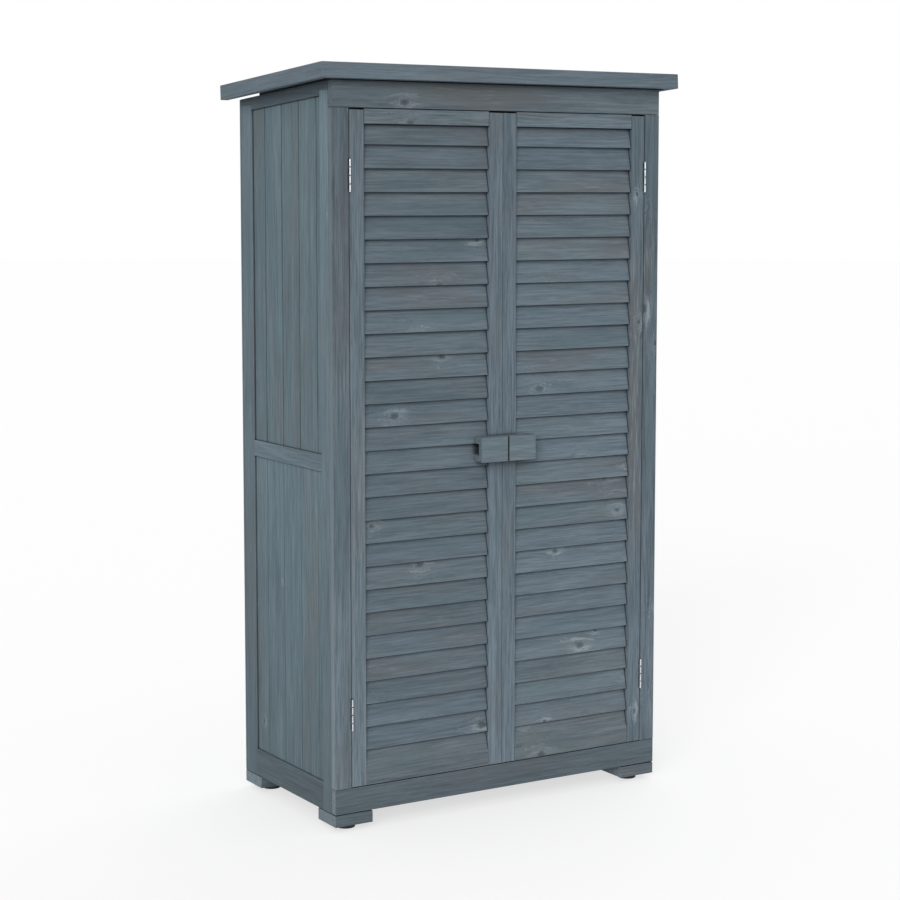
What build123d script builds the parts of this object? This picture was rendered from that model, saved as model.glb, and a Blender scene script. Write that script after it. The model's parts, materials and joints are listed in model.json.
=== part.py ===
"""Garden tool shed: a tall timber cabinet with a lean-to roof and two louvred doors.

Millimetres, +Z up. The front faces -Y. The origin lies on the ground, at the middle of the
shed's outline.
"""
import os
from math import cos, floor, radians, sin, tan

from build123d import *

# Cabinet body
BODY_WIDTH = 826.0
BODY_DEPTH = 429.0
DOOR_OPENING_HEIGHT = 1417.3
HEADER_TO_ROOF_HEIGHT = 90.0

# Feet and their push-in glides
FOOT_WIDTH = 90.0
FOOT_DEPTH = 79.0
FOOT_HEIGHT = 26.7
GLIDE_HEIGHT = 12.0
GLIDE_RADIUS = 20.5
GLIDE_EDGE = 1.5
GLIDE_STEM_RADIUS = 4.0
GLIDE_STEM_LENGTH = 16.0

# Front frame: header over the doors, plinth under them, a post at each side
FRONT_THICK = 18.0
PLINTH_HEIGHT = 54.0
POST_WIDTH = 39.0

# Side panels: framed boards
SIDE_THICK = 20.0
FRONT_STILE_WIDTH = 36.0
BACK_STILE_WIDTH = 51.0
TOP_RAIL_HEIGHT = 27.5
STILE_LAP_HEIGHT = 11.0
MID_RAIL_HEIGHT = 35.2
BOTTOM_RAIL_HEIGHT = 60.5
LOWER_PANEL_HEIGHT = 661.0
PANEL_RECESS = 4.0
PANEL_THICK = 10.0
PANEL_BOARD_WIDTH = 79.0
FIRST_BOARD_WIDTH = 23.5
GROOVE_CHAMFER = 1.6
BOARD_SEAM = 0.4

# Back wall
BACK_THICK = 8.0
BACK_BOARD_WIDTH = 82.6
BACK_RAIL_THICK = 18.0
BACK_RAIL_HEIGHT = 36.0

# Floor and shelves
FLOOR_THICK = 12.0
FLOOR_SETDOWN = 3.5
FLOOR_BOARD_WIDTH = 78.6
FLOOR_BEARER_THICK = 20.0
SHELF_SPACING = 474.0
SHELF_THICK = 12.0
SHELF_PLANK_WIDTH = 68.0
SHELF_PLANK_GAP = 8.0
SHELF_SETBACK = 16.0
CLEAT_THICK = 20.0
CLEAT_HEIGHT = 28.0
SHELF_END_GAP = 0.8

# Lean-to roof
ROOF_SLOPE = 3.37
ROOF_SIDE_OVERHANG = 34.6
ROOF_FRONT_OVERHANG = 21.9
ROOF_BACK_OVERHANG = 24.5
FASCIA_HEIGHT = 32.0
FASCIA_THICK = 18.0
DECK_THICK = 10.0
DECK_BOARD_WIDTH = 92.0
FELT_THICK = 2.0
WALL_ROOF_GAP = 0.6
ROOF_BEARER_WIDTH = 20.0
ROOF_BEARER_HEIGHT = 45.0
ROOF_BEARER_STOP = 57.0
ROOF_BEARER_START = 4.0

# Louvred doors
DOOR_THICK = 22.0
DOOR_STILE_WIDTH = 34.0
DOOR_TOP_RAIL_HEIGHT = 31.3
DOOR_BOTTOM_RAIL_HEIGHT = 82.3
DOOR_RAIL_FLAT_HEIGHT = 32.0
DOOR_RAIL_SLAT_GAP = 0.62273
DOOR_STILE_BOTTOM_GAP = 1.0
DOOR_RAIL_BOTTOM_GAP = 1.3
DOOR_STILE_TOP_GAP = 3.4
DOOR_RAIL_TOP_GAP = 0.8
DOOR_CENTRE_GAP = 1.8
SLAT_PITCH = 48.75
SLAT_TOP_REVEAL = 41.1
SLAT_OVERLAP = 7.0
SLAT_THICK = 6.5
SLAT_SETBACK = 2.9
SLAT_TILT = 11.1

# Stop strip behind the header
STOP_WIDTH = 620.0
STOP_THICK = 18.0
STOP_LAP = 26.0
STOP_DROP = 16.0
STOP_GAP = 0.3

# Butt hinges
HINGE_LENGTH = 69.0
HINGE_TOP_DROP = 134.0
HINGE_BOTTOM_RISE = 155.8
KNUCKLE_COUNT = 4
KNUCKLE_RADIUS = 2.0
KNUCKLE_GAP = 2.4
KNUCKLE_PROUD = 3.1
LEAF_THICK = 0.8
LEAF_WIDTH = 15.0
LEAF_GAP = 0.3
LEAF_SETBACK = 0.4
PIN_RADIUS = 0.9
PIN_CLEARANCE = 0.05
PIN_HEAD_RADIUS = 1.7
PIN_HEAD_HEIGHT = 1.2
SCREW_RADIUS = 1.5
SCREW_HEAD_RADIUS = 2.6
SCREW_LENGTH = 14.0
SCREW_CLEARANCE = 0.05
SCREW_INSET = 14.0

# Sliding latch: a keeper and a guide bridge the bolt
LATCH_WIDTH = 69.0
LATCH_HEIGHT = 55.0
LATCH_PROUD = 26.0
LATCH_PLATE = 10.5
LATCH_SLOT_HEIGHT = 25.0
LATCH_CORNER = 4.0
LATCH_RISE = 697.1
BOLT_LENGTH = 60.0
BOLT_CLEARANCE = 0.3

# Places worked out from the sizes above
SLOPE = radians(ROOF_SLOPE)
HALF_WIDTH = BODY_WIDTH / 2
FRONT_REACH = max(LATCH_PROUD, ROOF_FRONT_OVERHANG + FASCIA_HEIGHT * sin(SLOPE))
FRONT = (FRONT_REACH - BODY_DEPTH - ROOF_BACK_OVERHANG) / 2
BACK = FRONT + BODY_DEPTH
FRAME_BACK = FRONT + FRONT_THICK
BACK_INNER = BACK - BACK_THICK
SIDE_INNER = HALF_WIDTH - SIDE_THICK
FOOT_TOP = GLIDE_HEIGHT + FOOT_HEIGHT
PLINTH_TOP = FOOT_TOP + PLINTH_HEIGHT
OPENING_TOP = PLINTH_TOP + DOOR_OPENING_HEIGHT
ROOF_TOP = OPENING_TOP + HEADER_TO_ROOF_HEIGHT
ROOF_FRONT = FRONT - ROOF_FRONT_OVERHANG
ROOF_RUN = (BODY_DEPTH + ROOF_FRONT_OVERHANG + ROOF_BACK_OVERHANG) / cos(SLOPE)
ROOF_HALF = HALF_WIDTH + ROOF_SIDE_OVERHANG
DECK_UNDERSIDE = FELT_THICK + DECK_THICK
WALL_TOP_DROP = FASCIA_HEIGHT + WALL_ROOF_GAP
RAIL_DROP = WALL_TOP_DROP + TOP_RAIL_HEIGHT
FLOOR_TOP = PLINTH_TOP - FLOOR_SETDOWN
FLOOR_UNDERSIDE = FLOOR_TOP - FLOOR_THICK
SHELF_FRONT = FRONT + DOOR_THICK + SHELF_SETBACK
STILE_INNER = FRAME_BACK + FRONT_STILE_WIDTH
BACK_STILE_INNER = BACK_INNER - BACK_STILE_WIDTH
SIDE_RAIL_TOP = FOOT_TOP + BOTTOM_RAIL_HEIGHT
MID_RAIL_BOTTOM = SIDE_RAIL_TOP + LOWER_PANEL_HEIGHT
MID_RAIL_TOP = MID_RAIL_BOTTOM + MID_RAIL_HEIGHT
HINGE_GAP = 2 * LEAF_THICK + LEAF_GAP
POST_INNER = HALF_WIDTH - POST_WIDTH
DOOR_OUTER = POST_INNER - HINGE_GAP
DOOR_INNER = DOOR_CENTRE_GAP / 2
DOOR_STILE_BOTTOM = PLINTH_TOP + DOOR_STILE_BOTTOM_GAP
DOOR_RAIL_BOTTOM = PLINTH_TOP + DOOR_RAIL_BOTTOM_GAP
DOOR_STILE_TOP = OPENING_TOP - DOOR_STILE_TOP_GAP
DOOR_RAIL_TOP = OPENING_TOP - DOOR_RAIL_TOP_GAP
WINDOW_TOP = DOOR_RAIL_TOP - DOOR_TOP_RAIL_HEIGHT
DOOR_RAIL_FLAT_TOP = DOOR_RAIL_BOTTOM + DOOR_RAIL_FLAT_HEIGHT
DOOR_RAIL_SHOULDER = DOOR_RAIL_BOTTOM + DOOR_BOTTOM_RAIL_HEIGHT
FIRST_SLAT = WINDOW_TOP - SLAT_TOP_REVEAL
LAST_SLAT = DOOR_RAIL_SHOULDER - SLAT_OVERLAP
SLAT_COUNT = round((FIRST_SLAT - LAST_SLAT) / SLAT_PITCH) + 1
SLAT_STEP = (FIRST_SLAT - LAST_SLAT) / (SLAT_COUNT - 1)
HINGE_AXIS_X = POST_INNER - HINGE_GAP / 2
HINGE_AXIS_Y = FRONT - KNUCKLE_PROUD
HINGE_HEIGHTS = (DOOR_STILE_TOP - HINGE_TOP_DROP, DOOR_STILE_BOTTOM + HINGE_BOTTOM_RISE)
LATCH_CENTRE = DOOR_STILE_BOTTOM + LATCH_RISE
SIDES = {"left": -1, "right": 1}

os.makedirs("parts", exist_ok=True)


def write(piece, label):
    """Label a finished piece and write it as its own file."""
    piece.part.label = label
    export_step(piece.part, f"parts/{label}.step")


def mirrored(side, inner, outer):
    """Limits along X of something that lies between two distances from the middle."""
    return tuple(sorted((side * inner, side * outer)))


def roof_height(y, drop):
    """Height of the plane that lies a given depth below the roof's top face, at a depth y."""
    return ROOF_TOP - (y - ROOF_FRONT) * tan(SLOPE) - drop / cos(SLOPE)


def roof_plane(drop):
    """Plane parallel to the roof's top face, starting at the middle of its front edge."""
    top = Plane(origin=(0, ROOF_FRONT, ROOF_TOP), x_dir=(1, 0, 0), z_dir=(0, sin(SLOPE), cos(SLOPE)))
    return top.offset(-drop)


def block(x, y, z):
    """Add a square-edged timber between limits along X, Y and Z."""
    with BuildSketch(Plane.XY.offset(z[0])) as section:
        with Locations(((x[0] + x[1]) / 2, (y[0] + y[1]) / 2)):
            Rectangle(x[1] - x[0], y[1] - y[0])
    extrude(section.sketch, amount=z[1] - z[0])


def timber(label, x, y, z):
    """Make one square-edged timber."""
    with BuildPart() as piece:
        block(x, y, z)
    write(piece, label)


def cut_timber(label, x, corners):
    """Make one timber from its outline, seen from the side, between two limits along X."""
    with BuildPart() as piece:
        with BuildSketch(Plane.YZ.offset(x[0])):
            with BuildLine():
                Polyline(*corners, close=True)
            make_face()
        extrude(amount=x[1] - x[0])
    write(piece, label)


def roof_timbers(label, drop, depth, spans):
    """Make timbers that lie along the roof, each between limits across it and down its slope."""
    with BuildPart() as piece:
        with BuildSketch(roof_plane(drop + depth)):
            for across, down in spans:
                with Locations(((across[0] + across[1]) / 2, (down[0] + down[1]) / 2)):
                    Rectangle(across[1] - across[0], down[1] - down[0])
        extrude(amount=depth)
    write(piece, label)


def roof_strip(label, corners):
    """Make one fascia strip from its outline, seen from above the roof."""
    with BuildPart() as piece:
        with BuildSketch(roof_plane(FASCIA_HEIGHT)):
            with BuildLine():
                Polyline(*corners, close=True)
            make_face()
        extrude(amount=FASCIA_HEIGHT)
    write(piece, label)


def board_limits(start, stop, width, first):
    """Limits of the boards that fill a span, with a fine seam between neighbours.

    The first board has its own width, and the last takes what is left.
    """
    joints = [start + first]
    while joints[-1] + width < stop - width / 10:
        joints.append(joints[-1] + width)
    starts = [start] + [joint + BOARD_SEAM / 2 for joint in joints]
    stops = [joint - BOARD_SEAM / 2 for joint in joints] + [stop]
    return list(zip(starts, stops))


def front_frame():
    """Header, plinth and posts around the door opening."""
    full = (-HALF_WIDTH, HALF_WIDTH)
    cut_timber("header_board", full, (
        (FRONT, OPENING_TOP),
        (FRAME_BACK, OPENING_TOP),
        (FRAME_BACK, roof_height(FRAME_BACK, WALL_TOP_DROP)),
        (FRONT, roof_height(FRONT, WALL_TOP_DROP)),
    ))
    timber("plinth_board", full, (FRONT, FRAME_BACK), (FOOT_TOP, PLINTH_TOP))
    for name, side in SIDES.items():
        with BuildPart() as post:
            block(mirrored(side, POST_INNER, HALF_WIDTH), (FRONT, FRAME_BACK), (PLINTH_TOP, OPENING_TOP))
            for place in screw_places(-side, side * (POST_INNER - LEAF_THICK)):
                screw(place, SCREW_CLEARANCE, Mode.SUBTRACT)
        write(post, f"{name}_post")


def side_panel(name, side):
    """One side wall: stiles, rails and two fields of grooved boards."""
    x = mirrored(side, SIDE_INNER, HALF_WIDTH)
    field = (STILE_INNER, BACK_STILE_INNER)
    shoulders = [roof_height(y, RAIL_DROP) for y in field]
    laps = [shoulder + STILE_LAP_HEIGHT for shoulder in shoulders]
    timber(f"{name}_front_stile", x, (FRAME_BACK, STILE_INNER), (FOOT_TOP, laps[0]))
    timber(f"{name}_back_stile", x, (BACK_STILE_INNER, BACK_INNER), (FOOT_TOP, laps[1]))
    cut_timber(f"{name}_top_rail", x, (
        (FRAME_BACK, laps[0]),
        (field[0], laps[0]),
        (field[0], shoulders[0]),
        (field[1], shoulders[1]),
        (field[1], laps[1]),
        (BACK_INNER, laps[1]),
        (BACK_INNER, roof_height(BACK_INNER, WALL_TOP_DROP)),
        (FRAME_BACK, roof_height(FRAME_BACK, WALL_TOP_DROP)),
    ))
    timber(f"{name}_mid_rail", x, field, (MID_RAIL_BOTTOM, MID_RAIL_TOP))
    timber(f"{name}_bottom_rail", x, field, (FOOT_TOP, SIDE_RAIL_TOP))
    panel_boards(f"{name}_lower_boards", side, field, (SIDE_RAIL_TOP, MID_RAIL_BOTTOM))
    panel_boards(f"{name}_upper_boards", side, field, (MID_RAIL_TOP, ROOF_TOP))


def panel_boards(label, side, field, z):
    """Boards of a side panel, with a groove between neighbours on the outside."""
    outer = HALF_WIDTH - PANEL_RECESS
    inner = outer - PANEL_THICK
    shoulder = outer - GROOVE_CHAMFER
    with BuildPart() as boards:
        with BuildSketch(Plane.XY.offset(z[0])):
            for y in board_limits(*field, PANEL_BOARD_WIDTH, FIRST_BOARD_WIDTH):
                with BuildLine():
                    Polyline(
                        (side * inner, y[0]),
                        (side * inner, y[1]),
                        (side * shoulder, y[1]),
                        (side * outer, y[1] - GROOVE_CHAMFER),
                        (side * outer, y[0] + GROOVE_CHAMFER),
                        (side * shoulder, y[0]),
                        close=True,
                    )
                make_face()
        extrude(amount=z[1] - z[0])
        split(bisect_by=roof_plane(RAIL_DROP), keep=Keep.BOTTOM)
    write(boards, label)


def back_wall():
    """Upright boards that cover the back, nailed to three rails."""
    top = roof_height(BACK, WALL_TOP_DROP)
    shoulder = BACK - GROOVE_CHAMFER
    with BuildPart() as boards:
        with BuildSketch(Plane.XY.offset(FOOT_TOP)):
            for x in board_limits(-HALF_WIDTH, HALF_WIDTH, BACK_BOARD_WIDTH, BACK_BOARD_WIDTH):
                with BuildLine():
                    Polyline(
                        (x[0], BACK_INNER),
                        (x[1], BACK_INNER),
                        (x[1], shoulder),
                        (x[1] - GROOVE_CHAMFER, BACK),
                        (x[0] + GROOVE_CHAMFER, BACK),
                        (x[0], shoulder),
                        close=True,
                    )
                make_face()
        extrude(amount=top - FOOT_TOP)
    write(boards, "back_boards")
    x = (-SIDE_INNER, SIDE_INNER)
    y = (BACK_INNER - BACK_RAIL_THICK, BACK_INNER)
    timber("back_top_rail", x, y, (top - BACK_RAIL_HEIGHT, top))
    timber("back_mid_rail", x, y, (MID_RAIL_BOTTOM, MID_RAIL_TOP))
    timber("back_bottom_rail", x, y, (FOOT_TOP, FLOOR_UNDERSIDE))


def floor_and_shelves():
    """Floor boards on their bearers, and plank shelves on cleats."""
    span = (-SIDE_INNER, SIDE_INNER)
    middle = (FRAME_BACK + BACK_INNER - BACK_RAIL_THICK) / 2
    with BuildPart() as bearers:
        for y in (FRAME_BACK, middle):
            block(span, (y, y + FLOOR_BEARER_THICK), (FOOT_TOP, FLOOR_UNDERSIDE))
    write(bearers, "floor_bearers")
    with BuildPart() as boards:
        for x in board_limits(*span, FLOOR_BOARD_WIDTH, FLOOR_BOARD_WIDTH):
            block(x, (FRAME_BACK, BACK_INNER), (FLOOR_UNDERSIDE, FLOOR_TOP))
    write(boards, "floor_boards")
    shelf_tops = (FLOOR_TOP + SHELF_SPACING, FLOOR_TOP + 2 * SHELF_SPACING)
    depth = BACK_INNER - SHELF_FRONT
    count = floor((depth + SHELF_PLANK_GAP) / (SHELF_PLANK_WIDTH + SHELF_PLANK_GAP))
    step = (depth - SHELF_PLANK_WIDTH) / (count - 1)
    for label, top in zip(("lower_shelf", "upper_shelf"), shelf_tops):
        with BuildPart() as planks:
            for i in range(count):
                y = SHELF_FRONT + i * step
                x = SIDE_INNER - SHELF_END_GAP
                block((-x, x), (y, y + SHELF_PLANK_WIDTH), (top - SHELF_THICK, top))
        write(planks, label)
    with BuildPart() as cleats:
        for top in shelf_tops:
            under = top - SHELF_THICK
            for side in SIDES.values():
                x = mirrored(side, SIDE_INNER - CLEAT_THICK, SIDE_INNER)
                block(x, (SHELF_FRONT, BACK_INNER), (under - CLEAT_HEIGHT, under))
    write(cleats, "shelf_cleats")


def roof():
    """Boarded deck with felt, mitred fascia strips round three edges and bearers underneath."""
    inner = ROOF_HALF - FASCIA_THICK
    inside = (-inner, inner)
    slope = (FASCIA_THICK, ROOF_RUN)
    rows = board_limits(*slope, DECK_BOARD_WIDTH, DECK_BOARD_WIDTH)
    with BuildPart() as deck:
        for row in rows:
            with BuildSketch(roof_plane(DECK_UNDERSIDE)):
                with Locations((0, (row[0] + row[1]) / 2)):
                    Rectangle(inside[1] - inside[0], row[1] - row[0])
            extrude(amount=DECK_THICK)
    write(deck, "roof_deck")
    roof_timbers("roof_felt", 0, FELT_THICK, [(inside, slope)])
    roof_strip("front_fascia", ((-ROOF_HALF, 0), (ROOF_HALF, 0), (inner, FASCIA_THICK), (-inner, FASCIA_THICK)))
    for name, side in SIDES.items():
        roof_strip(f"{name}_fascia", (
            (side * ROOF_HALF, 0),
            (side * ROOF_HALF, ROOF_RUN),
            (side * inner, ROOF_RUN),
            (side * inner, FASCIA_THICK),
        ))
    start = (FRAME_BACK + ROOF_BEARER_START - ROOF_FRONT) / cos(SLOPE)
    stop = (BACK - ROOF_BEARER_STOP - ROOF_FRONT) / cos(SLOPE)
    runs = [mirrored(side, SIDE_INNER - ROOF_BEARER_WIDTH, SIDE_INNER) for side in SIDES.values()]
    runs.append((-ROOF_BEARER_WIDTH / 2, ROOF_BEARER_WIDTH / 2))
    roof_timbers("roof_bearers", DECK_UNDERSIDE, ROOF_BEARER_HEIGHT, [(x, (start, stop)) for x in runs])


def glide_places():
    """Centres of the four glides, each in the middle of its foot."""
    x = HALF_WIDTH - FOOT_WIDTH / 2
    rows = (FRONT + FOOT_DEPTH / 2, BACK - FOOT_DEPTH / 2)
    return [(side * x, y) for side in SIDES.values() for y in rows]


def feet():
    """A block under each corner, with a plastic glide pushed into it."""
    rows = {"front": (FRONT, FRONT + FOOT_DEPTH), "back": (BACK - FOOT_DEPTH, BACK)}
    for name, side in SIDES.items():
        for row, y in rows.items():
            with BuildPart() as foot:
                block(mirrored(side, HALF_WIDTH - FOOT_WIDTH, HALF_WIDTH), y, (GLIDE_HEIGHT, FOOT_TOP))
                for place in glide_places():
                    with Locations((*place, GLIDE_HEIGHT)):
                        Cylinder(
                            GLIDE_STEM_RADIUS + PIN_CLEARANCE,
                            GLIDE_STEM_LENGTH + PIN_CLEARANCE,
                            align=(Align.CENTER, Align.CENTER, Align.MIN),
                            mode=Mode.SUBTRACT,
                        )
            write(foot, f"foot_{row}_{name}")
    with BuildPart() as glides:
        with Locations(*glide_places()):
            Cylinder(GLIDE_RADIUS, GLIDE_HEIGHT, align=(Align.CENTER, Align.CENTER, Align.MIN))
        fillet(glides.edges().filter_by(GeomType.CIRCLE).group_by(Axis.Z)[0], GLIDE_EDGE)
        with Locations(*[(*place, GLIDE_HEIGHT) for place in glide_places()]):
            Cylinder(GLIDE_STEM_RADIUS, GLIDE_STEM_LENGTH, align=(Align.CENTER, Align.CENTER, Align.MIN))
    write(glides, "glides")


def door_stop():
    """Rebated strip on the back of the header, which the closed doors meet."""
    door_back = FRONT + DOOR_THICK + STOP_GAP
    stop_back = door_back + STOP_THICK
    cut_timber("door_stop", (-STOP_WIDTH / 2, STOP_WIDTH / 2), (
        (FRAME_BACK, OPENING_TOP),
        (door_back, OPENING_TOP),
        (door_back, OPENING_TOP - STOP_DROP),
        (stop_back, OPENING_TOP - STOP_DROP),
        (stop_back, OPENING_TOP + STOP_LAP),
        (FRAME_BACK, OPENING_TOP + STOP_LAP),
    ))


def screw_places(facing, x):
    """Planes on a leaf's open face at x, one for each of its screws, facing along X."""
    offsets = (SCREW_INSET - HINGE_LENGTH / 2, HINGE_LENGTH / 2 - SCREW_INSET)
    y = FRONT + LEAF_WIDTH / 2
    return [
        Plane(origin=(x, y, height + offset), x_dir=(0, 1, 0), z_dir=(facing, 0, 0))
        for height in HINGE_HEIGHTS
        for offset in offsets
    ]


def screw(place, clearance, mode):
    """Add or cut a countersunk screw whose head lies flush with a plane."""
    top = (Align.CENTER, Align.CENTER, Align.MAX)
    shank = SCREW_RADIUS + clearance
    with Locations(place):
        Cone(shank, SCREW_HEAD_RADIUS + clearance, LEAF_THICK, align=top, mode=mode)
        Cylinder(shank, SCREW_LENGTH + clearance, align=top, mode=mode)


def screws(label, places):
    """Make a set of hinge screws."""
    with BuildPart() as group:
        for place in places:
            screw(place, 0, Mode.ADD)
    write(group, label)


def knuckle_limits(height, first):
    """Limits along Z of every second knuckle of a hinge, counted from its top."""
    step = HINGE_LENGTH / KNUCKLE_COUNT
    top = height + HINGE_LENGTH / 2
    return [
        (top - (i + 1) * step + KNUCKLE_GAP / 2, top - i * step - KNUCKLE_GAP / 2)
        for i in range(first, KNUCKLE_COUNT, 2)
    ]


def hinge_leaves(side, towards_door):
    """Add the leaves of one side's hinges: plate, necks and knuckles, with bore and screw holes."""
    axis_x = side * HINGE_AXIS_X
    facing = -side if towards_door else side
    near = axis_x - facing * LEAF_GAP / 2
    far = near - facing * LEAF_THICK
    x = tuple(sorted((near, far)))
    leaf_front = FRONT + LEAF_SETBACK
    upright = (Align.CENTER, Align.CENTER, Align.MIN)
    for height in HINGE_HEIGHTS:
        block(x, (leaf_front, FRONT + LEAF_WIDTH), (height - HINGE_LENGTH / 2, height + HINGE_LENGTH / 2))
        for z in knuckle_limits(height, 0 if towards_door else 1):
            block(x, (HINGE_AXIS_Y, leaf_front), z)
            with Locations((axis_x, HINGE_AXIS_Y, z[0])):
                Cylinder(KNUCKLE_RADIUS, z[1] - z[0], align=upright)
        with Locations((axis_x, HINGE_AXIS_Y, height)):
            Cylinder(PIN_RADIUS + PIN_CLEARANCE, 2 * HINGE_LENGTH, mode=Mode.SUBTRACT)
    for place in screw_places(facing, near):
        screw(place, SCREW_CLEARANCE, Mode.SUBTRACT)


def frame_hinges():
    """Leaves, screws and pins that stay on the cabinet."""
    with BuildPart() as leaves:
        for side in SIDES.values():
            hinge_leaves(side, True)
    write(leaves, "frame_hinge_leaves")
    frame_face = POST_INNER - LEAF_THICK
    places = [place for side in SIDES.values() for place in screw_places(-side, side * frame_face)]
    screws("frame_hinge_screws", places)
    with BuildPart() as pins:
        upright = (Align.CENTER, Align.CENTER, Align.MIN)
        for side in SIDES.values():
            for height in HINGE_HEIGHTS:
                bottom = height - HINGE_LENGTH / 2
                knuckle_top = height + (HINGE_LENGTH - KNUCKLE_GAP) / 2
                with Locations((side * HINGE_AXIS_X, HINGE_AXIS_Y, bottom)):
                    Cylinder(PIN_RADIUS, knuckle_top - bottom, align=upright)
                with Locations((side * HINGE_AXIS_X, HINGE_AXIS_Y, knuckle_top)):
                    Cylinder(PIN_HEAD_RADIUS, PIN_HEAD_HEIGHT, align=upright)
    write(pins, "hinge_pins")


def door(name, side):
    """One louvred door: stiles, rails, slats and its hinge leaves.

    The bottom rail is planed back so that it clears the heel of the last slat.
    """
    y = (FRONT, FRONT + DOOR_THICK)
    hinge_edge = DOOR_OUTER - DOOR_STILE_WIDTH
    meeting_edge = DOOR_INNER + DOOR_STILE_WIDTH
    leaf_face = side * (DOOR_OUTER + LEAF_THICK)
    with BuildPart() as stile:
        block(mirrored(side, hinge_edge, DOOR_OUTER), y, (DOOR_STILE_BOTTOM, DOOR_STILE_TOP))
        for place in screw_places(side, leaf_face):
            screw(place, SCREW_CLEARANCE, Mode.SUBTRACT)
    write(stile, f"{name}_door_hinge_stile")
    meeting = mirrored(side, DOOR_INNER, meeting_edge)
    timber(f"{name}_door_meeting_stile", meeting, y, (DOOR_STILE_BOTTOM, DOOR_STILE_TOP))
    between = mirrored(side, meeting_edge, hinge_edge)
    timber(f"{name}_door_top_rail", between, y, (WINDOW_TOP, DOOR_RAIL_TOP))
    lean = radians(SLAT_TILT)
    heel_depth = SLAT_SETBACK + SLAT_THICK * cos(lean) + DOOR_RAIL_SLAT_GAP
    heel_rise = LAST_SLAT - SLAT_THICK * sin(lean) - DOOR_RAIL_FLAT_TOP
    planed = FRONT + heel_depth * (DOOR_RAIL_SHOULDER - DOOR_RAIL_FLAT_TOP) / heel_rise
    cut_timber(f"{name}_door_bottom_rail", between, (
        (y[0], DOOR_RAIL_BOTTOM),
        (y[1], DOOR_RAIL_BOTTOM),
        (y[1], DOOR_RAIL_SHOULDER),
        (planed, DOOR_RAIL_SHOULDER),
        (y[0], DOOR_RAIL_FLAT_TOP),
    ))
    slats(f"{name}_door_slats", between)
    with BuildPart() as leaves:
        hinge_leaves(side, False)
    write(leaves, f"{name}_door_hinge_leaves")
    screws(f"{name}_door_hinge_screws", screw_places(side, leaf_face))


def slats(label, x):
    """Tilted slats under a door's top rail, each lapping over the one below, the last over the bottom rail."""
    length = (SLAT_STEP + SLAT_OVERLAP) / cos(radians(SLAT_TILT))
    with BuildPart() as louvre:
        with BuildSketch(Plane.YZ.offset(x[0])):
            for i in range(SLAT_COUNT):
                with Locations((FRONT + SLAT_SETBACK, FIRST_SLAT - i * SLAT_STEP)):
                    Rectangle(SLAT_THICK, length, rotation=-SLAT_TILT, align=(Align.MIN, Align.MIN))
            with Locations((FRONT + DOOR_THICK / 2, WINDOW_TOP)):
                Rectangle(DOOR_THICK, length, align=(Align.CENTER, Align.MIN), mode=Mode.SUBTRACT)
        extrude(amount=x[1] - x[0])
    write(louvre, label)


def latch_bridge(label, side):
    """Bridge-shaped block on a door, with a slot along X for the bolt."""
    z = LATCH_CENTRE
    x = mirrored(side, DOOR_INNER, DOOR_INNER + LATCH_WIDTH)
    slot_depth = LATCH_PROUD - LATCH_PLATE
    outer_corners = Axis((side * DOOR_INNER, 0, 0), (side, 0, 0))
    with BuildPart() as bridge:
        with BuildSketch(Plane.YZ.offset(x[0])):
            with Locations((FRONT - LATCH_PROUD / 2, z)):
                Rectangle(LATCH_PROUD, LATCH_HEIGHT)
            with Locations((FRONT - slot_depth / 2, z)):
                Rectangle(slot_depth, LATCH_SLOT_HEIGHT, mode=Mode.SUBTRACT)
        extrude(amount=LATCH_WIDTH)
        ends = bridge.edges().filter_by(Axis.Y).group_by(outer_corners)[-1]
        levels = ends.group_by(Axis.Z)
        fillet(levels[0] + levels[-1], LATCH_CORNER)
    write(bridge, label)


def latch():
    """Keeper on the left door, guide on the right door, and the bolt that lies in the guide."""
    latch_bridge("latch_keeper", SIDES["left"])
    latch_bridge("bolt_guide", SIDES["right"])
    start = DOOR_INNER + (LATCH_WIDTH - BOLT_LENGTH) / 2
    y = (FRONT - LATCH_PROUD + LATCH_PLATE + BOLT_CLEARANCE, FRONT - BOLT_CLEARANCE)
    half = LATCH_SLOT_HEIGHT / 2 - BOLT_CLEARANCE
    z = (LATCH_CENTRE - half, LATCH_CENTRE + half)
    timber("latch_bolt", (start, start + BOLT_LENGTH), y, z)


front_frame()
for side_name, side_sign in SIDES.items():
    side_panel(side_name, side_sign)
    door(side_name, side_sign)
back_wall()
floor_and_shelves()
roof()
feet()
door_stop()
frame_hinges()
latch()
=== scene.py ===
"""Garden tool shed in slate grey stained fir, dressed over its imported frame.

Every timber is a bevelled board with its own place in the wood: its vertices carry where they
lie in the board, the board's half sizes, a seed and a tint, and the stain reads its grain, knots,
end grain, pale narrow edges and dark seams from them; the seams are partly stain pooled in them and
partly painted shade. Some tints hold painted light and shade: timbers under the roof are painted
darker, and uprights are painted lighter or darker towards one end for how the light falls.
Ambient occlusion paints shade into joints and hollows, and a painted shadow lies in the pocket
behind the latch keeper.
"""

import json
import logging
import math
import random
from dataclasses import dataclass, replace
from enum import Enum
from typing import Iterable, Optional, Sequence, Union

import bmesh
import bpy
from mathutils import Matrix, Vector

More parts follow.
